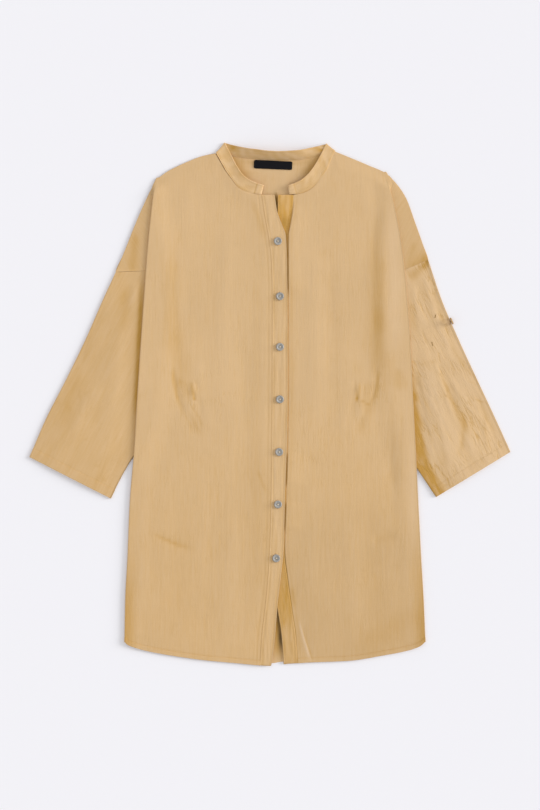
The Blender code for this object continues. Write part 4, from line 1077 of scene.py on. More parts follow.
def backCloth():
    b = backPanel

    def sidePath(side):
        sign, inset = side["sign"], side["sign"] * b["sideInset"]
        underX, underY = side["underarm"][0]
        dropX = float(outlineX(side, side["dropOuter"]))
        path = [(bodySide[side["key"]][-1] - inset, bodySide["y"][-1])]
        path += [(float(sideX(side, y)) - inset, y) for y in (-313.1, -249.1, -190.0)]
        path += [(underX + sign * out, underY + up) for out, up in b["sideBend"][::-1]]
        path += [(underX - sign * b["underarmInset"], underY),
                 (mix(underX, dropX, 0.5) - sign * 2.2, mix(underY, side["dropOuter"], 0.5)),
                 (dropX - sign * 3.0, side["dropOuter"] - 1.5), (dropX, side["dropOuter"])]
        steps = [mix(side["dropOuter"], side["outerTop"], k / 5) for k in range(1, 6)]
        return path + [(float(outlineX(side, y)), y) for y in steps]

    left, right = sidePath(leftSide), sidePath(rightSide)
    neck = list(zip(collar["back"]["seamX"], collar["back"]["seamY"]))
    upper = [[left[-1]] + leftSide["shoulder"][::-1], neck, rightSide["shoulder"] + [right[-1]]]
    corner = b["shoulderShare"]

    def hem(u):
        x = mix(left[0][0], right[0][0], u)
        rise = b["hemRise"] * (1 - (2 * u - 1) ** 4)
        inside = (u > 0) & (u < 1)
        return np.stack([x, np.where(inside, hemY(x) + rise, left[0][1])], -1)

    u = np.linspace(0, 1, b["columns"] + 1)
    hemShare = b["hemWidth"] * 1.5 / 780
    rim = cloth["rim"] / 780
    v = np.concatenate([np.linspace(0, hemShare, 8, endpoint=False), np.linspace(hemShare, 1, b["rows"])])
    u = np.sort(np.concatenate([u, [rim * 1.6, 1 - rim * 1.6]]))
    v = np.sort(np.concatenate([v, [rim, 1 - rim]]))
    plan = patch(hem, lambda s: alongEach(upper, [corner, 1 - corner, 1.0], s),
                 lambda s: along(left, s), lambda s: along(right, s), u, v)
    x, y = plan[..., 0], plan[..., 1]
    toHem = np.linalg.norm(plan - hem(u)[None], axis=2)
    edge = np.minimum(u, 1 - u)[None] * 400
    inside = ease(edge, 0, 10) * ease((1 - v)[:, None] * 780, 0, 8) * ease(toHem, 2, 12)
    lift = 0.34 * crinkle(x, y, 60) + creaseHeight(b["creases"], x, y, 60)
    z = layers["back"] - 0.1 + inside * lift + groove(toHem, b["hemWidth"], 0.9, 0.12)
    doubled = 0.5 * ease(-toHem, -b["hemWidth"] - 0.6, -b["hemWidth"] + 0.6)
    # painted shade from the listed lines, and painted highlights where the crinkle rises
    paintedShading = creaseHeight(b["paintedShades"], x, y, 400) - 0.12 * np.clip(lift / 0.2, -1, 1)
    paintedDarkening = np.clip(creaseHeight(b["shadows"], x, y, 410), 0, 0.82)
    made = clothPiece("back", np.dstack([x, y, z]), plan, "back_panel", doubled, paintedShading, paintedDarkening,
                      np.full(x.shape, 0.25))
    return made, np.dstack([x, y, z])


# Sleeves
sleeveTube = {
    "rows": 136, "columns": 96, "lowerColumns": 24, "turnSteps": 8,
    "reach": 1.4, "puff": 1.5, "puffWidth": 48.0, "dropShare": 4 / 12,
    "cuffHem": 15.0, "armholeClearance": 0.7, "dropGap": 0.07,
    "foldShare": {"right": 0.36, "left": 0.5},
    "creases": {
        "right": [
            crease((243, 108), (300, -130), 20, 3.2, bend=7, right=11),
            crease((236, 60), (262, -100), 6, 1.3, bend=-3, right=5, power=1.5),
            crease((243, 118), (300, 8), 6, -1.4, bend=3, right=4, power=1.5),
            crease((262, 150), (330, 14), 7, 1.5, bend=4, right=9),
            crease((268, 60), (332, -62), 5, -1.6, bend=4, right=9, power=1.5),
            crease((282, 50), (352, -44), 8, 1.6, bend=4, right=5),
            crease((258, 96), (300, -40), 5, 1.2, bend=3, right=4, power=1.5),
            crease((300, 20), (322, -96), 8, 1.3, bend=-3, right=10),
            crease((330, 24), (366, -58), 5, -1.3, bend=2, right=6, power=1.5),
            crease((346, -20), (352, -82), 7, 1.4, bend=4, right=4),
            crease((236, 196), (262, 120), 6, -1.1, bend=2, power=1.6),
            crease((246, 208), (276, 112), 5, 1.2, bend=2, right=4),
            crease((228, 192), (244, 112), 6, 1.0, bend=1),
            crease((256, 190), (282, 128), 4, -1.0, bend=1),
            crease((310, -10), (300, -92), 5, -1.1, bend=-3, power=1.5),
            crease((318, 60), (352, -8), 4, 1.0, bend=2),
            crease((284, 100), (316, 40), 4, -0.9, bend=2),
            crease((262, -20), (282, -120), 5, -1.2, bend=-2, right=7),
        ],
        "left": [
            crease((-246, 176), (-300, 60), 12, 0.7, bend=-4),
            crease((-262, 190), (-318, 62), 7, -0.6, bend=-3),
            crease((-232, 150), (-262, 0), 12, 0.6, bend=-3),
            crease((-238, 60), (-262, -84), 14, 0.8, bend=3),
            crease((-272, 40), (-320, -66), 14, 0.6, bend=3),
            crease((-300, 30), (-340, -50), 10, -0.5, bend=-3),
            crease((-226, 196), (-236, 150), 5, -0.8),
            crease((-214, 198), (-222, 150), 5, 0.8),
        ],
    },
    # painted over each whole sleeve: paler on the viewer's right, darker on the left
    "tone": {"right": -0.22, "left": 0.20},
    # the edge of a painted shade band beside the body on the viewer's right sleeve
    "shadeBandEdge": {"y": [106, -4, -46, -87, -112, -142], "x": [229.0, 238.0, 245.0, 254.0, 265.0, 284.0]},
    "paintedShades": {
        "right": [
            crease((254, 233), (242, 214), 5, 0.85),
            crease((246, 219), (218, 201), 9, 0.55),
            crease((224, 196), (232, 100), 7, 0.30),
            crease((268, 60), (332, -62), 4, 0.40, bend=4, right=7),
            crease((310, -10), (300, -92), 5, 0.30, bend=-3),
            crease((330, 24), (366, -58), 4, 0.35, bend=2),
            crease((346, -20), (352, -82), 4, 0.30, bend=4),
            crease((232, 62), (266, -40), 4, 0.35, bend=2),
            crease((262, -20), (282, -120), 5, 0.25, bend=-2),
            crease((282, 118), (318, 44), 4, 0.25, bend=2),
        ],
        "left": [
            crease((-232, 196), (-240, 100), 9, 0.20),
            crease((-205, 206), (-216, -60), 5, 0.75),
            crease((-262, 150), (-300, 60), 8, 0.12),
            crease((-300, 60), (-340, -40), 14, 0.14),
        ],
    },
}


def sleeveCloth(name, side, replaced):
    t, sign = sleeveTube, side["sign"]
    reach = t["reach"]
    startY = side["dropOuter"] - t["dropGap"]
    underPath = [(side["underarm"][0][0] + sign * 0.6, side["underarm"][0][1])] + side["underarm"][1:]

    def overarm(v):
        y = mix(side["cuffY"], startY, v)
        return np.stack([outlineX(side, y), y], -1)

    def under(v):
        return along(underPath, 1 - np.asarray(v, float))

    def normalOf(path, v, toward):
        line = path(np.minimum(v + 0.01, 1.0)) - path(np.maximum(v - 0.01, 0.0))
        found = np.stack([-line[:, 1], line[:, 0]], 1)
        found /= np.linalg.norm(found, axis=1, keepdims=True)
        return np.where((found @ toward)[:, None] > 0, found, -found)

    bodyWard = np.array([-sign, -0.4])

    def overIn(v):
        v = np.atleast_1d(v)
        return overarm(v) + normalOf(overarm, v, bodyWard) * reach

    def underIn(v):
        v = np.atleast_1d(v)
        return under(v) + normalOf(under, v, -bodyWard) * reach

    cuffStart, cuffEnd = overIn(0.0)[0], underIn(0.0)[0]
    topStart, topEnd = overIn(1.0)[0], underIn(1.0)[0]
    innerY = side["dropInner"] - t["dropGap"]
    levels = [innerY] + [mix(innerY, side["underarm"][0][1], s) for s in (0.35, 0.65, 0.88)]
    armhole = [(float(sideX(side, y)) - sign * (float(depthUnder(side, y)) - t["armholeClearance"]), y)
               for y in levels] + [tuple(topEnd)]
    dropSeam = [tuple(topStart), armhole[0]]

    def cuff(u):
        return mix(cuffStart, cuffEnd, np.atleast_1d(u)[:, None])

    def upperEdge(u):
        return alongEach([dropSeam, armhole], [t["dropShare"], 1.0], u)

    def lowerEdge(u):
        return mix(topStart, topEnd, np.atleast_1d(u)[:, None])

    length = 300.0
    hemRows = np.linspace(0, 1.3 * t["cuffHem"] / length, 16, endpoint=False)
    v = np.concatenate([hemRows, np.linspace(1.3 * t["cuffHem"] / length, 1, t["rows"])])
    rim = cloth["rim"] / length
    v = np.sort(np.concatenate([v, [rim, 1 - rim]]))
    u = np.linspace(0, 1, t["columns"] + 1)
    plan = patch(cuff, upperEdge, overIn, underIn, u, v)
    x, y = plan[..., 0], plan[..., 1]
    toCuff = np.linalg.norm(plan - cuff(u)[None], axis=2)
    toDrop = np.linalg.norm(plan - upperEdge(u)[None], axis=2)
    clear = ease(sign * (x - sideX(side, y)), 3.0, t["puffWidth"])
    nearBody = ease(sign * (x - sideX(side, y)), 2.0, 14.0)
    ends = ease(np.minimum(u, 1 - u), 0, 0.34)[None] * ease(1 - v, 0, 0.3)[:, None]
    edges = ease(np.minimum(u, 1 - u), 0, 0.05)[None] * ease(toDrop, 0, 10)
    folds = creaseHeight(t["creases"][side["key"]], x, y, 90 if sign > 0 else 120) * t["foldShare"][side["key"]]
    # The grain runs down the arm
    tilt = math.atan2(*(np.mean([overIn(0.0)[0] - overIn(1.0)[0], underIn(0.0)[0] - underIn(1.0)[0]], 0)))
    gx, gy = x * math.cos(tilt) - y * math.sin(tilt), x * math.sin(tilt) + y * math.cos(tilt)
    rough = 1.0 if sign > 0 else 0.4
    small = rough * (0.16 * streaks(gx, gy, 9, 46, 210 + sign) + 0.12 * streaks(gx, gy, 4.2, 22, 214 + sign))
    rise = t["puff"] * clear * ends + folds * nearBody * edges
    rise = rise + (crinkle(gx, gy, 230 + sign) * 0.7 + small) * edges * mix(0.3, 1, nearBody)
    gathers = 0.3 * rough * streaks(gx, gy, 4.4, 40, 240 + sign) * ease(-toDrop, -34, 0) * ease(toDrop, 0, 3)
    rise = np.maximum(rise + gathers, -0.15) * ease(toDrop, -0.5, 2.5)
    rise = rise + groove(toCuff, t["cuffHem"], 1.0, 0.2) * edges
    outward = 0.4 * ease(1 - u / t["dropShare"], 0.5, 1.0)[None] * ease(-toDrop, -12, 0)
    top = np.dstack([x, y, layers["sleeveTop"] + rise - outward])
    lowU = np.linspace(1, 0, t["lowerColumns"] + 1)
    low = patch(cuff, lowerEdge, overIn, underIn, lowU, v)
    wave = 0.12 * (1 + streaks(low[..., 0], low[..., 1], 24, 60, 250 + sign)) * ease(np.minimum(lowU, 1 - lowU), 0, 0.2)[None]
    low = np.dstack([low, layers["back"] + wave * ease(1 - v, 0, 0.1)[:, None]])
    angles = np.pi * (0.5 - np.arange(1, t["turnSteps"]) / t["turnSteps"])

    def turn(path, toward, flip):
        edge, normal = path(v), normalOf(path, v, toward)
        swing = angles * flip
        out = reach - layers["sleeveTurn"] * np.cos(swing)
        place = edge[:, None] + normal[:, None] * out[None, :, None]
        z = layers["back"] + layers["sleeveTurn"] * (1 + np.sin(swing))
        return np.dstack([place, np.broadcast_to(z, place.shape[:2])])

    underTurn, overTurn = turn(under, -bodyWard, 1), turn(overarm, bodyWard, -1)
    points = np.concatenate([top, underTurn, low, overTurn], 1)
    flat = points[..., 0] * math.cos(tilt) - points[..., 1] * math.sin(tilt)
    down = points[..., 0] * math.sin(tilt) + points[..., 1] * math.cos(tilt)
    grain = np.dstack([flat, down])
    every = np.linalg.norm(points[..., :2] - points[:1, :, :2], axis=2)
    doubled = 0.75 * ease(-every, -t["cuffHem"] - 0.8, -t["cuffHem"] + 0.8)
    paintedShading = np.zeros(points.shape[:2])
    # Painted shade in folds, along thin wrinkles beside the body and at the cuff hem; painted highlights on the small
    # ridges
    shade = t["tone"][side["key"]] + 0.22 * np.clip(-folds, -1, 1) - 0.12 * np.clip(small / 0.15, -1, 1)
    thin = 1 - np.abs(streaks(gx + 0.12 * gy, gy, 6.5, 36, 260 + sign)) * 5
    shade = shade + 0.42 * rough * np.clip(thin, 0, 1) * ease(streaks(gx, gy, 22, 50, 263 + sign), -0.1, 0.5) * nearBody
    shade = shade + 0.1 * np.exp(-((toCuff - t["cuffHem"]) / 1.6) ** 2)
    shade = shade + creaseHeight(t["paintedShades"][side["key"]], x, y, 500)
    # A mottled band of painted shade beside the body
    if sign > 0:
        border = readCurve(t["shadeBandEdge"]["y"], t["shadeBandEdge"]["x"], y)
        under = ease(border - x, -5, 7) * ease(108 - y, 0, 110)
        shade = shade + (1.2 + 0.4 * streaks(gx, gy, 3.4, 16, 270)) * under
    paintedShading[:, :len(u)] = shade
    paintedDarkening = np.zeros(points.shape[:2])
    # Painted shade on the turned edges of the sleeve, heavier on its under turn
    paintedDarkening[:, -len(angles) - 1:] = 0.24 if sign > 0 else 0.0
    paintedDarkening[:, len(u) - 1:len(u) + len(angles)] = 0.16 if sign > 0 else 0.34
    paintedShading[:, len(u):len(u) + len(angles)] = 0.7
    paintedDarkening[:, :2] = 0.16 if sign > 0 else 0.0
    if sign > 0:          # painted light on this patch, against the shadow that the sleeve button casts on it
        paintedDarkening[:, :len(u)] -= 0.34 * np.exp(-((x - 281) / 7) ** 2 - ((y - 132) / 4.5) ** 2)
    # painted light along the drop seam on the viewer's left, slight painted shade on the right
    paintedDarkening[:, :len(u)] -= (0.19 if sign < 0 else -0.03) * ease(-toDrop, -0.6, -0.1)
    wrinkle = np.full(points.shape[:2], 1.0 if sign > 0 else 0.12)
    made = clothPiece(name, points, grain, replaced, doubled, paintedShading, paintedDarkening, wrinkle, ring=True)
    return made, points, dict(toCuff=toCuff, toDrop=toDrop, columns=len(u))


back, backPoints = backCloth()
frontRight, frontRightPoints, frontRightInfo = frontCloth("front_viewer_left", leftSide, "front_right")
frontLeft, frontLeftPoints, frontLeftInfo = frontCloth("front_viewer_right", rightSide, "front_left")
sleeveRight, sleeveRightPoints, sleeveRightInfo = sleeveCloth("sleeve_viewer_left", leftSide, "sleeve_right")
sleeveLeft, sleeveLeftPoints, sleeveLeftInfo = sleeveCloth("sleeve_viewer_right", rightSide, "sleeve_left")
# The over placket: darker towards the hem, with painted light along its seam. The under placket: painted shade where it
placketOver, overFace, overAcross = placketPiece(
    # shows in the neck opening, paler towards the hem, with a painted shade smudge and painted light above it.
    "over_placket", "overSeam", "overEdge", lambda y: centreZ(leftSide, y), "placket_over", 300,
    lambda x, y: 0.04 + 0.1 * ease(-y, 150, 330), lambda x, y: -0.1 * ease(1.2 - x + readCurve(
        placketLines["y"], placketLines["overSeam"], y), 0, 1))
placketUnder, underFace, underAcross = placketPiece(
    "under_placket", "underSeam", "underEdge", lambda y: centreZ(rightSide, y), "placket_under", 320,
    lambda x, y: (0.4 + 0.3 * ease(334 - y, 8, 50) + 0.12 * ease(-y, 200, 260) - 0.45 * ease(-y, 320, 380)
                  + 0.3 * ease(y, 262, 296) + 0.16 * streaks(x, y, 3.2, 12, 330)),
    lambda x, y: (0.26 * np.exp(-((x - 23) / 5) ** 2 - ((y - 291) / 9) ** 2) - 0.15 * ease(y, 240, 270)
                  + 0.14 * np.exp(-((y - 262) / 16) ** 2)))
collarPiece, collarFace, collarAcross = collarBand()
print("cloth made")

# Sewing. Each stitch is its own short piece of thread.
thread = {
    "length": 2.2, "gap": 0.9, "radius": 0.17, "sink": 0.12, "sides": 6,
    "profile": [0.35, 0.85, 1.0, 0.85, 0.35], "arch": [-0.16, 0.03, 0.1, 0.03, -0.16],
}
single, turned = cloth["wall"] * cloth["single"] / 2, cloth["wall"] / 2


# The line on a surface where a distance passes a value, with one point on each column
def lineAt(points, distance, at):
    found = []
    for c in range(points.shape[1]):
        r = int(np.argmax(distance[:, c] >= at))
        if r:
            before, after = distance[r - 1, c], distance[r, c]
            found.append(mix(points[r - 1, c], points[r, c], (at - before) / (after - before)))
    return np.array(found)


def acrossLine(points, distance, at):
    return lineAt(points.transpose(1, 0, 2), distance.T, at)


# Tubes through the middle points given, which are one row for each stitch
def threadTubes(middle, radius):
    middle = np.asarray(middle, float)
    count, steps = middle.shape[:2]
    run = middle[:, -1] - middle[:, 0]
    run /= np.linalg.norm(run, axis=1, keepdims=True)
    side = np.cross(run, (0, 0, 1.0))
    side /= np.linalg.norm(side, axis=1, keepdims=True)
    up = np.cross(side, run)
    turn = 2 * np.pi * np.arange(thread["sides"]) / thread["sides"]
    ring = np.cos(turn)[:, None] * side[:, None] + np.sin(turn)[:, None] * up[:, None]
    points = middle[:, :, None] + np.asarray(radius)[None, :, None, None] * ring[:, None]
    sides = thread["sides"]
    faces = gridFaces(steps, sides, ring=True)
    faces = (faces[None] + (np.arange(count) * steps * sides)[:, None, None]).reshape(-1, 4)
    ends = []
    for ring0, flip in ((0, 1), (steps - 1, -1)):
        loop = ring0 * sides + np.arange(sides)
        for quad in ([loop[0], loop[1], loop[2], loop[3]], [loop[0], loop[3], loop[4], loop[5]]):
            ends.append(np.array(quad[::-flip])[None] + (np.arange(count) * steps * sides)[:, None])
    return points.reshape(-1, 3), np.concatenate([faces] + ends)


def sewn(name, parts, finish, slot="cloth"):
    points, faces, start = [], [], 0
    for some, its in parts:
        points.append(some)
        faces.append(its + start)
        start += len(some)
    points = np.concatenate(points)
    mesh, _ = meshFrom(name, points, np.concatenate(faces), finish, points[:, :2])
    return showPiece(bpy.data.objects.new(name, mesh), slot)


def stitchRun(name, lines, seed, finish=None):
    rng = np.random.RandomState(seed)
    pitch = thread["length"] + thread["gap"]
    parts = []
    for line, lift in lines:
        run = np.concatenate([[0], np.cumsum(np.linalg.norm(np.diff(line, axis=0), axis=1))])
        count = int(run[-1] // pitch)
        start = (run[-1] - count * pitch + thread["gap"]) / 2
        starts = start + pitch * np.arange(count) + rng.uniform(-0.1, 0.1, count)
        at = starts[:, None] + thread["length"] * np.linspace(0, 1, 5)[None]
        middle = np.stack([np.interp(at, run, line[:, k]) for k in range(3)], -1)
        middle[..., 2] += lift - thread["sink"] + np.array(thread["arch"])
        middle[..., :2] += rng.uniform(-0.07, 0.07, (count, 1, 2))
        parts.append(threadTubes(middle, thread["radius"] * np.array(thread["profile"])))
    return sewn(name, parts, finish or seamThread)


def frontLines(points, info, centreAt):
    main = points[:, :info["main"]]
    lines = [(lineAt(main, info["toHem"], frontPanel["hemWidth"]), turned)]
    return lines + [(acrossLine(main[8:-4], info["toCentre"][8:-4], at), single) for at in centreAt]


def cuffLines(points, info):
    top = points[:, :info["columns"]]
    t = sleeveTube
    return [(lineAt(top[:, 2:-2], info["toCuff"][:, 2:-2], t["cuffHem"]), turned * 0.9)]


frontStitches = {
    "front_viewer_left": stitchRun("front_stitches_viewer_left",
                                   frontLines(frontRightPoints, frontRightInfo, [4.6]), 500),
    "front_viewer_right": stitchRun("front_stitches_viewer_right",
                                    frontLines(frontLeftPoints, frontLeftInfo, [4.2]), 501),
}
cuffStitches = {
    "sleeve_viewer_left": stitchRun("cuff_stitches_viewer_left",
                                    cuffLines(sleeveRightPoints, sleeveRightInfo), 502),
    "sleeve_viewer_right": stitchRun("cuff_stitches_viewer_right",
                                     cuffLines(sleeveLeftPoints, sleeveLeftInfo), 503),
}


def bandLines(face, across, gaps, rows):
    wide = across[rows, -1:]
    found = []
    for gap, fromEnd in gaps:
        distance = wide - across[rows] if fromEnd else across[rows]
        grid = face[rows][:, ::-1] if fromEnd else face[rows]
        found.append((acrossLine(grid, distance[:, ::-1] if fromEnd else distance, gap), 0.0))
    return found


placketStitches = [
    stitchRun("over_placket_stitches",
              bandLines(overFace, overAcross, [(2.6, False), (2.6, True)], slice(3, -3)), 510),
    stitchRun("under_placket_stitches",
              bandLines(underFace, underAcross, [(2.6, False), (2.6, True)], slice(3, -3)), 511),
]
collarStitches = stitchRun("collar_stitches",
                           bandLines(collarFace, collarAcross, [(1.7, False), (2.0, True)], slice(4, -4)), 512)
print("stitches sewn")

# Buttons: a turned pearl disc with four holes, held by two crossed threads
sleeveButton = {"facing": (0.90, 0.40, 0.2), "proud": (2.0, 0.0, -0.9)}
button = {
    "holeReach": 1.55, "holeRadius": 0.62, "threadRadius": 0.33, "segments": 72, "spoke": 28,
    # share of the radius and of the height
    "profile": [(0.0, 0.50), (0.20, 0.50), (0.40, 0.52), (0.56, 0.66), (0.66, 0.86), (0.74, 0.97), (0.82, 1.0),
                (0.90, 0.96), (0.96, 0.82), (0.99, 0.62), (1.0, 0.42), (0.98, 0.22), (0.92, 0.07), (0.80, 0.0),
                (0.0, 0.0)],
}


def buttonMesh(name, radius, height, finish):
    rings = button["profile"][1:-1]
    angles = 2 * np.pi * np.arange(button["segments"]) / button["segments"]
    points = [(0, 0, button["profile"][0][1] * height)]
    for share, level in rings:
        points += [(share * radius * math.cos(a), share * radius * math.sin(a), level * height) for a in angles]
    points.append((0, 0, 0))
    n = button["segments"]
    faces = [(0, 1 + k, 1 + (k + 1) % n) for k in range(n)]
    for r in range(len(rings) - 1):
        for k in range(n):
            a, b = 1 + r * n + k, 1 + r * n + (k + 1) % n
            faces.append((a, a + n, b + n, b))
    last = 1 + (len(rings) - 1) * n
    faces += [(len(points) - 1, last + (k + 1) % n, last + k) for k in range(n)]
    mesh = bpy.data.meshes.new(name)
    mesh.from_pydata([[c * mm for c in p] for p in points], [], faces)
    disc = bpy.data.objects.new(name, mesh)
    drill = bpy.data.meshes.new("drill")
    shafts, rounds = [], []
    m = 20
    for corner in range(4):
        turn = math.pi / 4 + corner * math.pi / 2
        cx, cy = button["holeReach"] * math.cos(turn), button["holeReach"] * math.sin(turn)
        first = len(shafts)
        for z in (-1.0, height + 1.0):
            shafts += [((cx + button["holeRadius"] * math.cos(2 * math.pi * k / m)) * mm,
                        (cy + button["holeRadius"] * math.sin(2 * math.pi * k / m)) * mm, z * mm) for k in range(m)]
        rounds += [(first + k, first + (k + 1) % m, first + m + (k + 1) % m, first + m + k) for k in range(m)]
        rounds += [tuple(first + k for k in range(m))[::-1], tuple(first + m + k for k in range(m))]
    drill.from_pydata(shafts, [], rounds)
    bit = bpy.data.objects.new("drill", drill)
    for piece in (disc, bit):
        bpy.context.scene.collection.objects.link(piece)
    cut = disc.modifiers.new("holes", "BOOLEAN")
    cut.operation, cut.solver, cut.object = "DIFFERENCE", "EXACT", bit
    ready = bpy.data.meshes.new_from_object(disc.evaluated_get(bpy.context.evaluated_depsgraph_get()))
    for piece in (disc, bit):
        bpy.data.objects.remove(piece)
    ready.name = name
    ready.materials.clear()
    ready.materials.append(finish)
    ready.shade_smooth()
    ready.set_sharp_from_angle(angle=math.radians(38))
    return ready


# Two loops of thread that cross over the four holes
def buttonThreads(height):
    reach, top = button["holeReach"], button["profile"][0][1] * height
    strands = []
    for first, second, extra in ((0, 2, 0.0), (1, 3, 0.3)):
        ends = []
        for corner in (first, second):
            turn = math.pi / 4 + corner * math.pi / 2
            ends.append(np.array([reach * math.cos(turn), reach * math.sin(turn)]))
        aside = (ends[1] - ends[0]) / np.linalg.norm(ends[1] - ends[0])
        aside = np.array([-aside[1], aside[0]]) * 0.2
        for shift in (-1, 1):
            share = np.linspace(0, 1, 9)
            flat = mix(ends[0][None], ends[1][None], share[:, None]) + aside * shift
            rise = top + 0.34 + extra * np.sin(np.pi * share) - 0.75 * (np.abs(2 * share - 1)) ** 8
            strands.append(np.column_stack([flat, rise]))
    return threadTubes(np.array(strands), np.full(9, button["threadRadius"]))


def placeButton(node, name):
    low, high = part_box(node)
    low, high = np.array(low) / mm, np.array(high) / mm
    centre = (low + high) / 2
    radius, height = (high[0] - low[0]) / 2, high[2] - low[2]
    lying = height < radius
    if not lying:
        radius = (high[1] - low[1]) / 2
        height = 2.2
    # The standing sleeve button takes the brownish shell: painted shade and a painted reflection of the cloth
    made = bpy.data.objects.new(name, buttonMesh(name, radius, height, greyShell if lying else shadedSleeveShell))
    points, faces = buttonThreads(height)
    if lying:
        turn = np.eye(3)
        foot = np.array([centre[0], centre[1], low[2] + 0.1])
    else:
        out = Vector(sleeveButton["facing"]).normalized()
        turn = np.array(out.to_track_quat("Z", "Y").to_matrix())
        foot = centre + sleeveButton["proud"] - np.array(out) * (height / 2)
    local = np.zeros(3 * len(made.data.vertices))
    made.data.vertices.foreach_get("co", local)
    local = local.reshape(-1, 3) / mm
    made.data.vertices.foreach_set("co", ((local @ turn.T + foot) * mm).ravel())
    made.data.update()
    showPiece(made, "button_pearl", node)
    points = points @ turn.T + foot - np.array([*cloth["centring"], 0])
    sewn(name + "_thread", [(points, faces)], buttonThread)
    return made, foot


for k in range(1, 8):
    placeButton(f"button_{k}", f"pearl_button_{k}")
placeButton("sleeve_button", "pearl_sleeve_button")
print("buttons placed")

# Neck label: a bare folded tape, stitched at both ends
label = {"corner": 2.2, "columns": 60, "rows": 16, "bow": 0.25, "tilt": 0.045}
darkThread = sewingThread("dark_thread", (0.02, 0.019, 0.022))


def neckLabel():
    low, high = (np.array(c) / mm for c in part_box("neck_label"))
    low, high = low - np.array([*cloth["centring"], 0]), high - np.array([*cloth["centring"], 0])
    tilt = label["tilt"]
    middle = (low + high) / 2
    width = (high[0] - low[0]) * 0.965
    depth = (high[1] - low[1]) - width * math.tan(tilt)
    u = np.linspace(-0.5, 0.5, label["columns"])
    v = np.linspace(-0.5, 0.5, label["rows"])
    a, b = u[None] * width + 0 * v[:, None], v[:, None] * depth + 0 * u[None]
    # Round the corners by drawing the ends of each row in
    reach = np.maximum(np.abs(v) * depth - (depth / 2 - label["corner"]), 0)
    drawn = label["corner"] - np.sqrt(np.maximum(label["corner"] ** 2 - reach ** 2, 0))
    a = a * (1 - 2 * drawn[:, None] / width)
    x = middle[0] + a * math.cos(tilt) - b * math.sin(-tilt)
    y = middle[1] - a * math.sin(tilt) + b
    lift = label["bow"] * (1 - (2 * u[None]) ** 2) * (0.7 + 0.3 * streaks(a, b, 14, 9, 620))
    edge = np.minimum(0.5 - np.abs(u)[None], 0.5) * width
    lift = lift - 0.12 * np.exp(-((edge - 2.0) / 0.6) ** 2)
    z = low[2] + 0.35 + lift
    top = np.dstack([x, y, z])
    faces = gridFaces(*top.shape[:2])
    mesh, _ = meshFrom("neck_label", top.reshape(-1, 3), faces, blackTape, np.dstack([a, b]).reshape(-1, 2))
    made = bpy.data.objects.new("woven_neck_label", mesh)
    shell = made.modifiers.new("tape", "SOLIDIFY")
    shell.thickness, shell.offset = 0.45 * mm, 0.0
    showPiece(made, "label_tape", "neck_label")
    ends = []
    for k in (-1, 1):
        v = np.linspace(-0.44, 0.44, 30) * depth
        a = np.full(30, k * (width / 2 - 2.0))
        ends.append((np.column_stack([middle[0] + a * math.cos(tilt) + v * math.sin(tilt),
                                      middle[1] - a * math.sin(tilt) + v, np.full(30, low[2] + 0.3)]), 0.22))
    return made, stitchRun("label_stitches", ends, 513, darkThread)


labelPiece, labelStitches = neckLabel()

# Bar tacks of the roll-up tab, seen on the outside of the sleeve
tacks = {"places": [((265.0, 143.0), (264.0, 138.2)), ((259.0, 99.5), (260.6, 93.6))], "turns": 9}


def surfaceZ(points, x, y):
    flat = points.reshape(-1, 3)
    return flat[np.argmin((flat[:, 0] - x) ** 2 + (flat[:, 1] - y) ** 2), 2]


def barTacks():
    strands = []
    top = sleeveLeftPoints[:, :sleeveLeftInfo["columns"]]
    for (x0, y0), (x1, y1) in tacks["places"]:
        for k in range(tacks["turns"]):
            share = k / (tacks["turns"] - 1)
            x, y = mix(x0, x1, share), mix(y0, y1, share)
            z = surfaceZ(top, x, y) + single
            across = np.linspace(-0.9, 0.9, 5)
            strands.append(np.column_stack([x + across, y + 0.25 * across,
                                            z + 0.16 - 0.3 * (across / 0.9) ** 2]))
    return sewn("sleeve_bar_tacks", [threadTubes(np.array(strands), np.full(5, 0.27))], tackThread)


sleeveTacks = barTacks()

# Buttonholes: close satin stitches on both sides of each slit, and a bar at each end
buttonhole = {"length": 15.0, "half": 1.0, "pitch": 0.62, "radius": 0.24}


def buttonholes():
    b, strands = buttonhole, []
    for k in range(1, 8):
        low, high = (np.array(c) / mm - np.array([*cloth["centring"], 0]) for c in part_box(f"button_{k}"))
        x, y = (low[0] + high[0]) / 2, (low[1] + high[1]) / 2
        for at in np.arange(-b["length"] / 2, b["length"] / 2 + 0.01, b["pitch"]):
            ends = [(-b["half"], -0.2), (0.2, b["half"])]
            if abs(at) > b["length"] / 2 - 1.3:
                ends = [(-b["half"], b["half"])]
            for start, end in ends:
                across = np.linspace(start, end, 5)
                z = surfaceZ(overFace, x, y + at)
                arch = 0.1 - 0.24 * (2 * np.linspace(0, 1, 5) - 1) ** 2
                strands.append(np.column_stack([x + across, np.full(5, y + at), z + arch]))
    return sewn("buttonholes", [threadTubes(np.array(strands), np.full(5, b["radius"]))], seamThread)


holes = buttonholes()
print("label, tacks and buttonholes sewn")

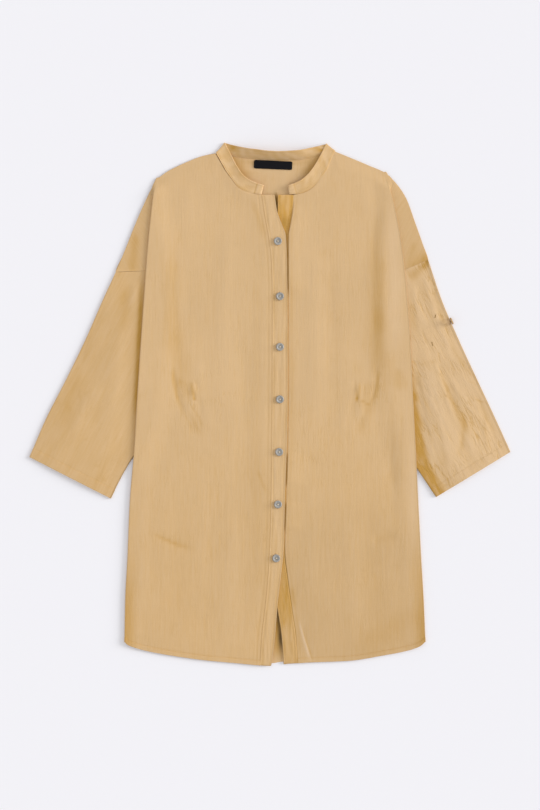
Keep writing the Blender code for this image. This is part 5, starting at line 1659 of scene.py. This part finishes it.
# Floor, light and camera
studio = {
    "floor": (0.926, 0.918, 0.958),
    "ambient": 0.728,
    "sun": 2.58, "sunHeight": 17.0, "sunFrom": 12.0, "sunSoftness": 24.0,
    "cameraHeight": 3.0, "frameLength": 1.296, "aim": (0.0002, -0.0012),
}


def makeStudio():
    s = studio
    made, tree, shader = newMaterial("pale_floor", 0.9)
    shader.inputs["Specular IOR Level"].default_value = 0.1
    grainNoise = node(tree, "TexNoise", (-600, 0), Scale=40.0, Detail=2.0)
    tones = node(tree, "ValToRGB", (-400, 0))
    for point, share in zip(tones.color_ramp.elements, (0.998, 1.002)):
        point.color = (*[share * c for c in s["floor"]], 1.0)
    tree.links.new(grainNoise.outputs[0], tones.inputs[0])
    tree.links.new(tones.outputs[0], shader.inputs["Base Color"])
    mesh = bpy.data.meshes.new("floor")
    size = 30.0
    mesh.from_pydata([(-size, -size, -0.0002), (size, -size, -0.0002), (size, size, -0.0002),
                      (-size, size, -0.0002)], [], [(0, 1, 2, 3)])
    mesh.materials.append(made)
    floor = bpy.data.objects.new("floor", mesh)
    bpy.context.scene.collection.objects.link(floor)

    world = bpy.data.worlds.new("studio")
    world.use_nodes = True
    background = world.node_tree.nodes["Background"]
    background.inputs["Color"].default_value = (1.0, 1.0, 1.0, 1.0)
    background.inputs["Strength"].default_value = s["ambient"]
    bpy.context.scene.world = world

    sun = bpy.data.lights.new("key", "SUN")
    sun.energy, sun.angle = s["sun"], math.radians(s["sunSoftness"])
    lamp = bpy.data.objects.new("key", sun)
    height, turn = math.radians(s["sunHeight"]), math.radians(s["sunFrom"])
    toSun = Vector((math.cos(height) * math.cos(turn), math.cos(height) * math.sin(turn), math.sin(height)))
    lamp.rotation_mode = "QUATERNION"
    lamp.rotation_quaternion = toSun.to_track_quat("Z", "Y")
    bpy.context.scene.collection.objects.link(lamp)

    view = bpy.data.cameras.new("camera")
    view.sensor_width = 36.0
    view.lens = view.sensor_width * s["cameraHeight"] / s["frameLength"]
    camera = bpy.data.objects.new("camera", view)
    camera.location = (*s["aim"], s["cameraHeight"])
    bpy.context.scene.collection.objects.link(camera)
    bpy.context.scene.camera = camera
    bpy.context.scene.view_settings.view_transform = "Standard"


makeStudio()
print("studio ready")
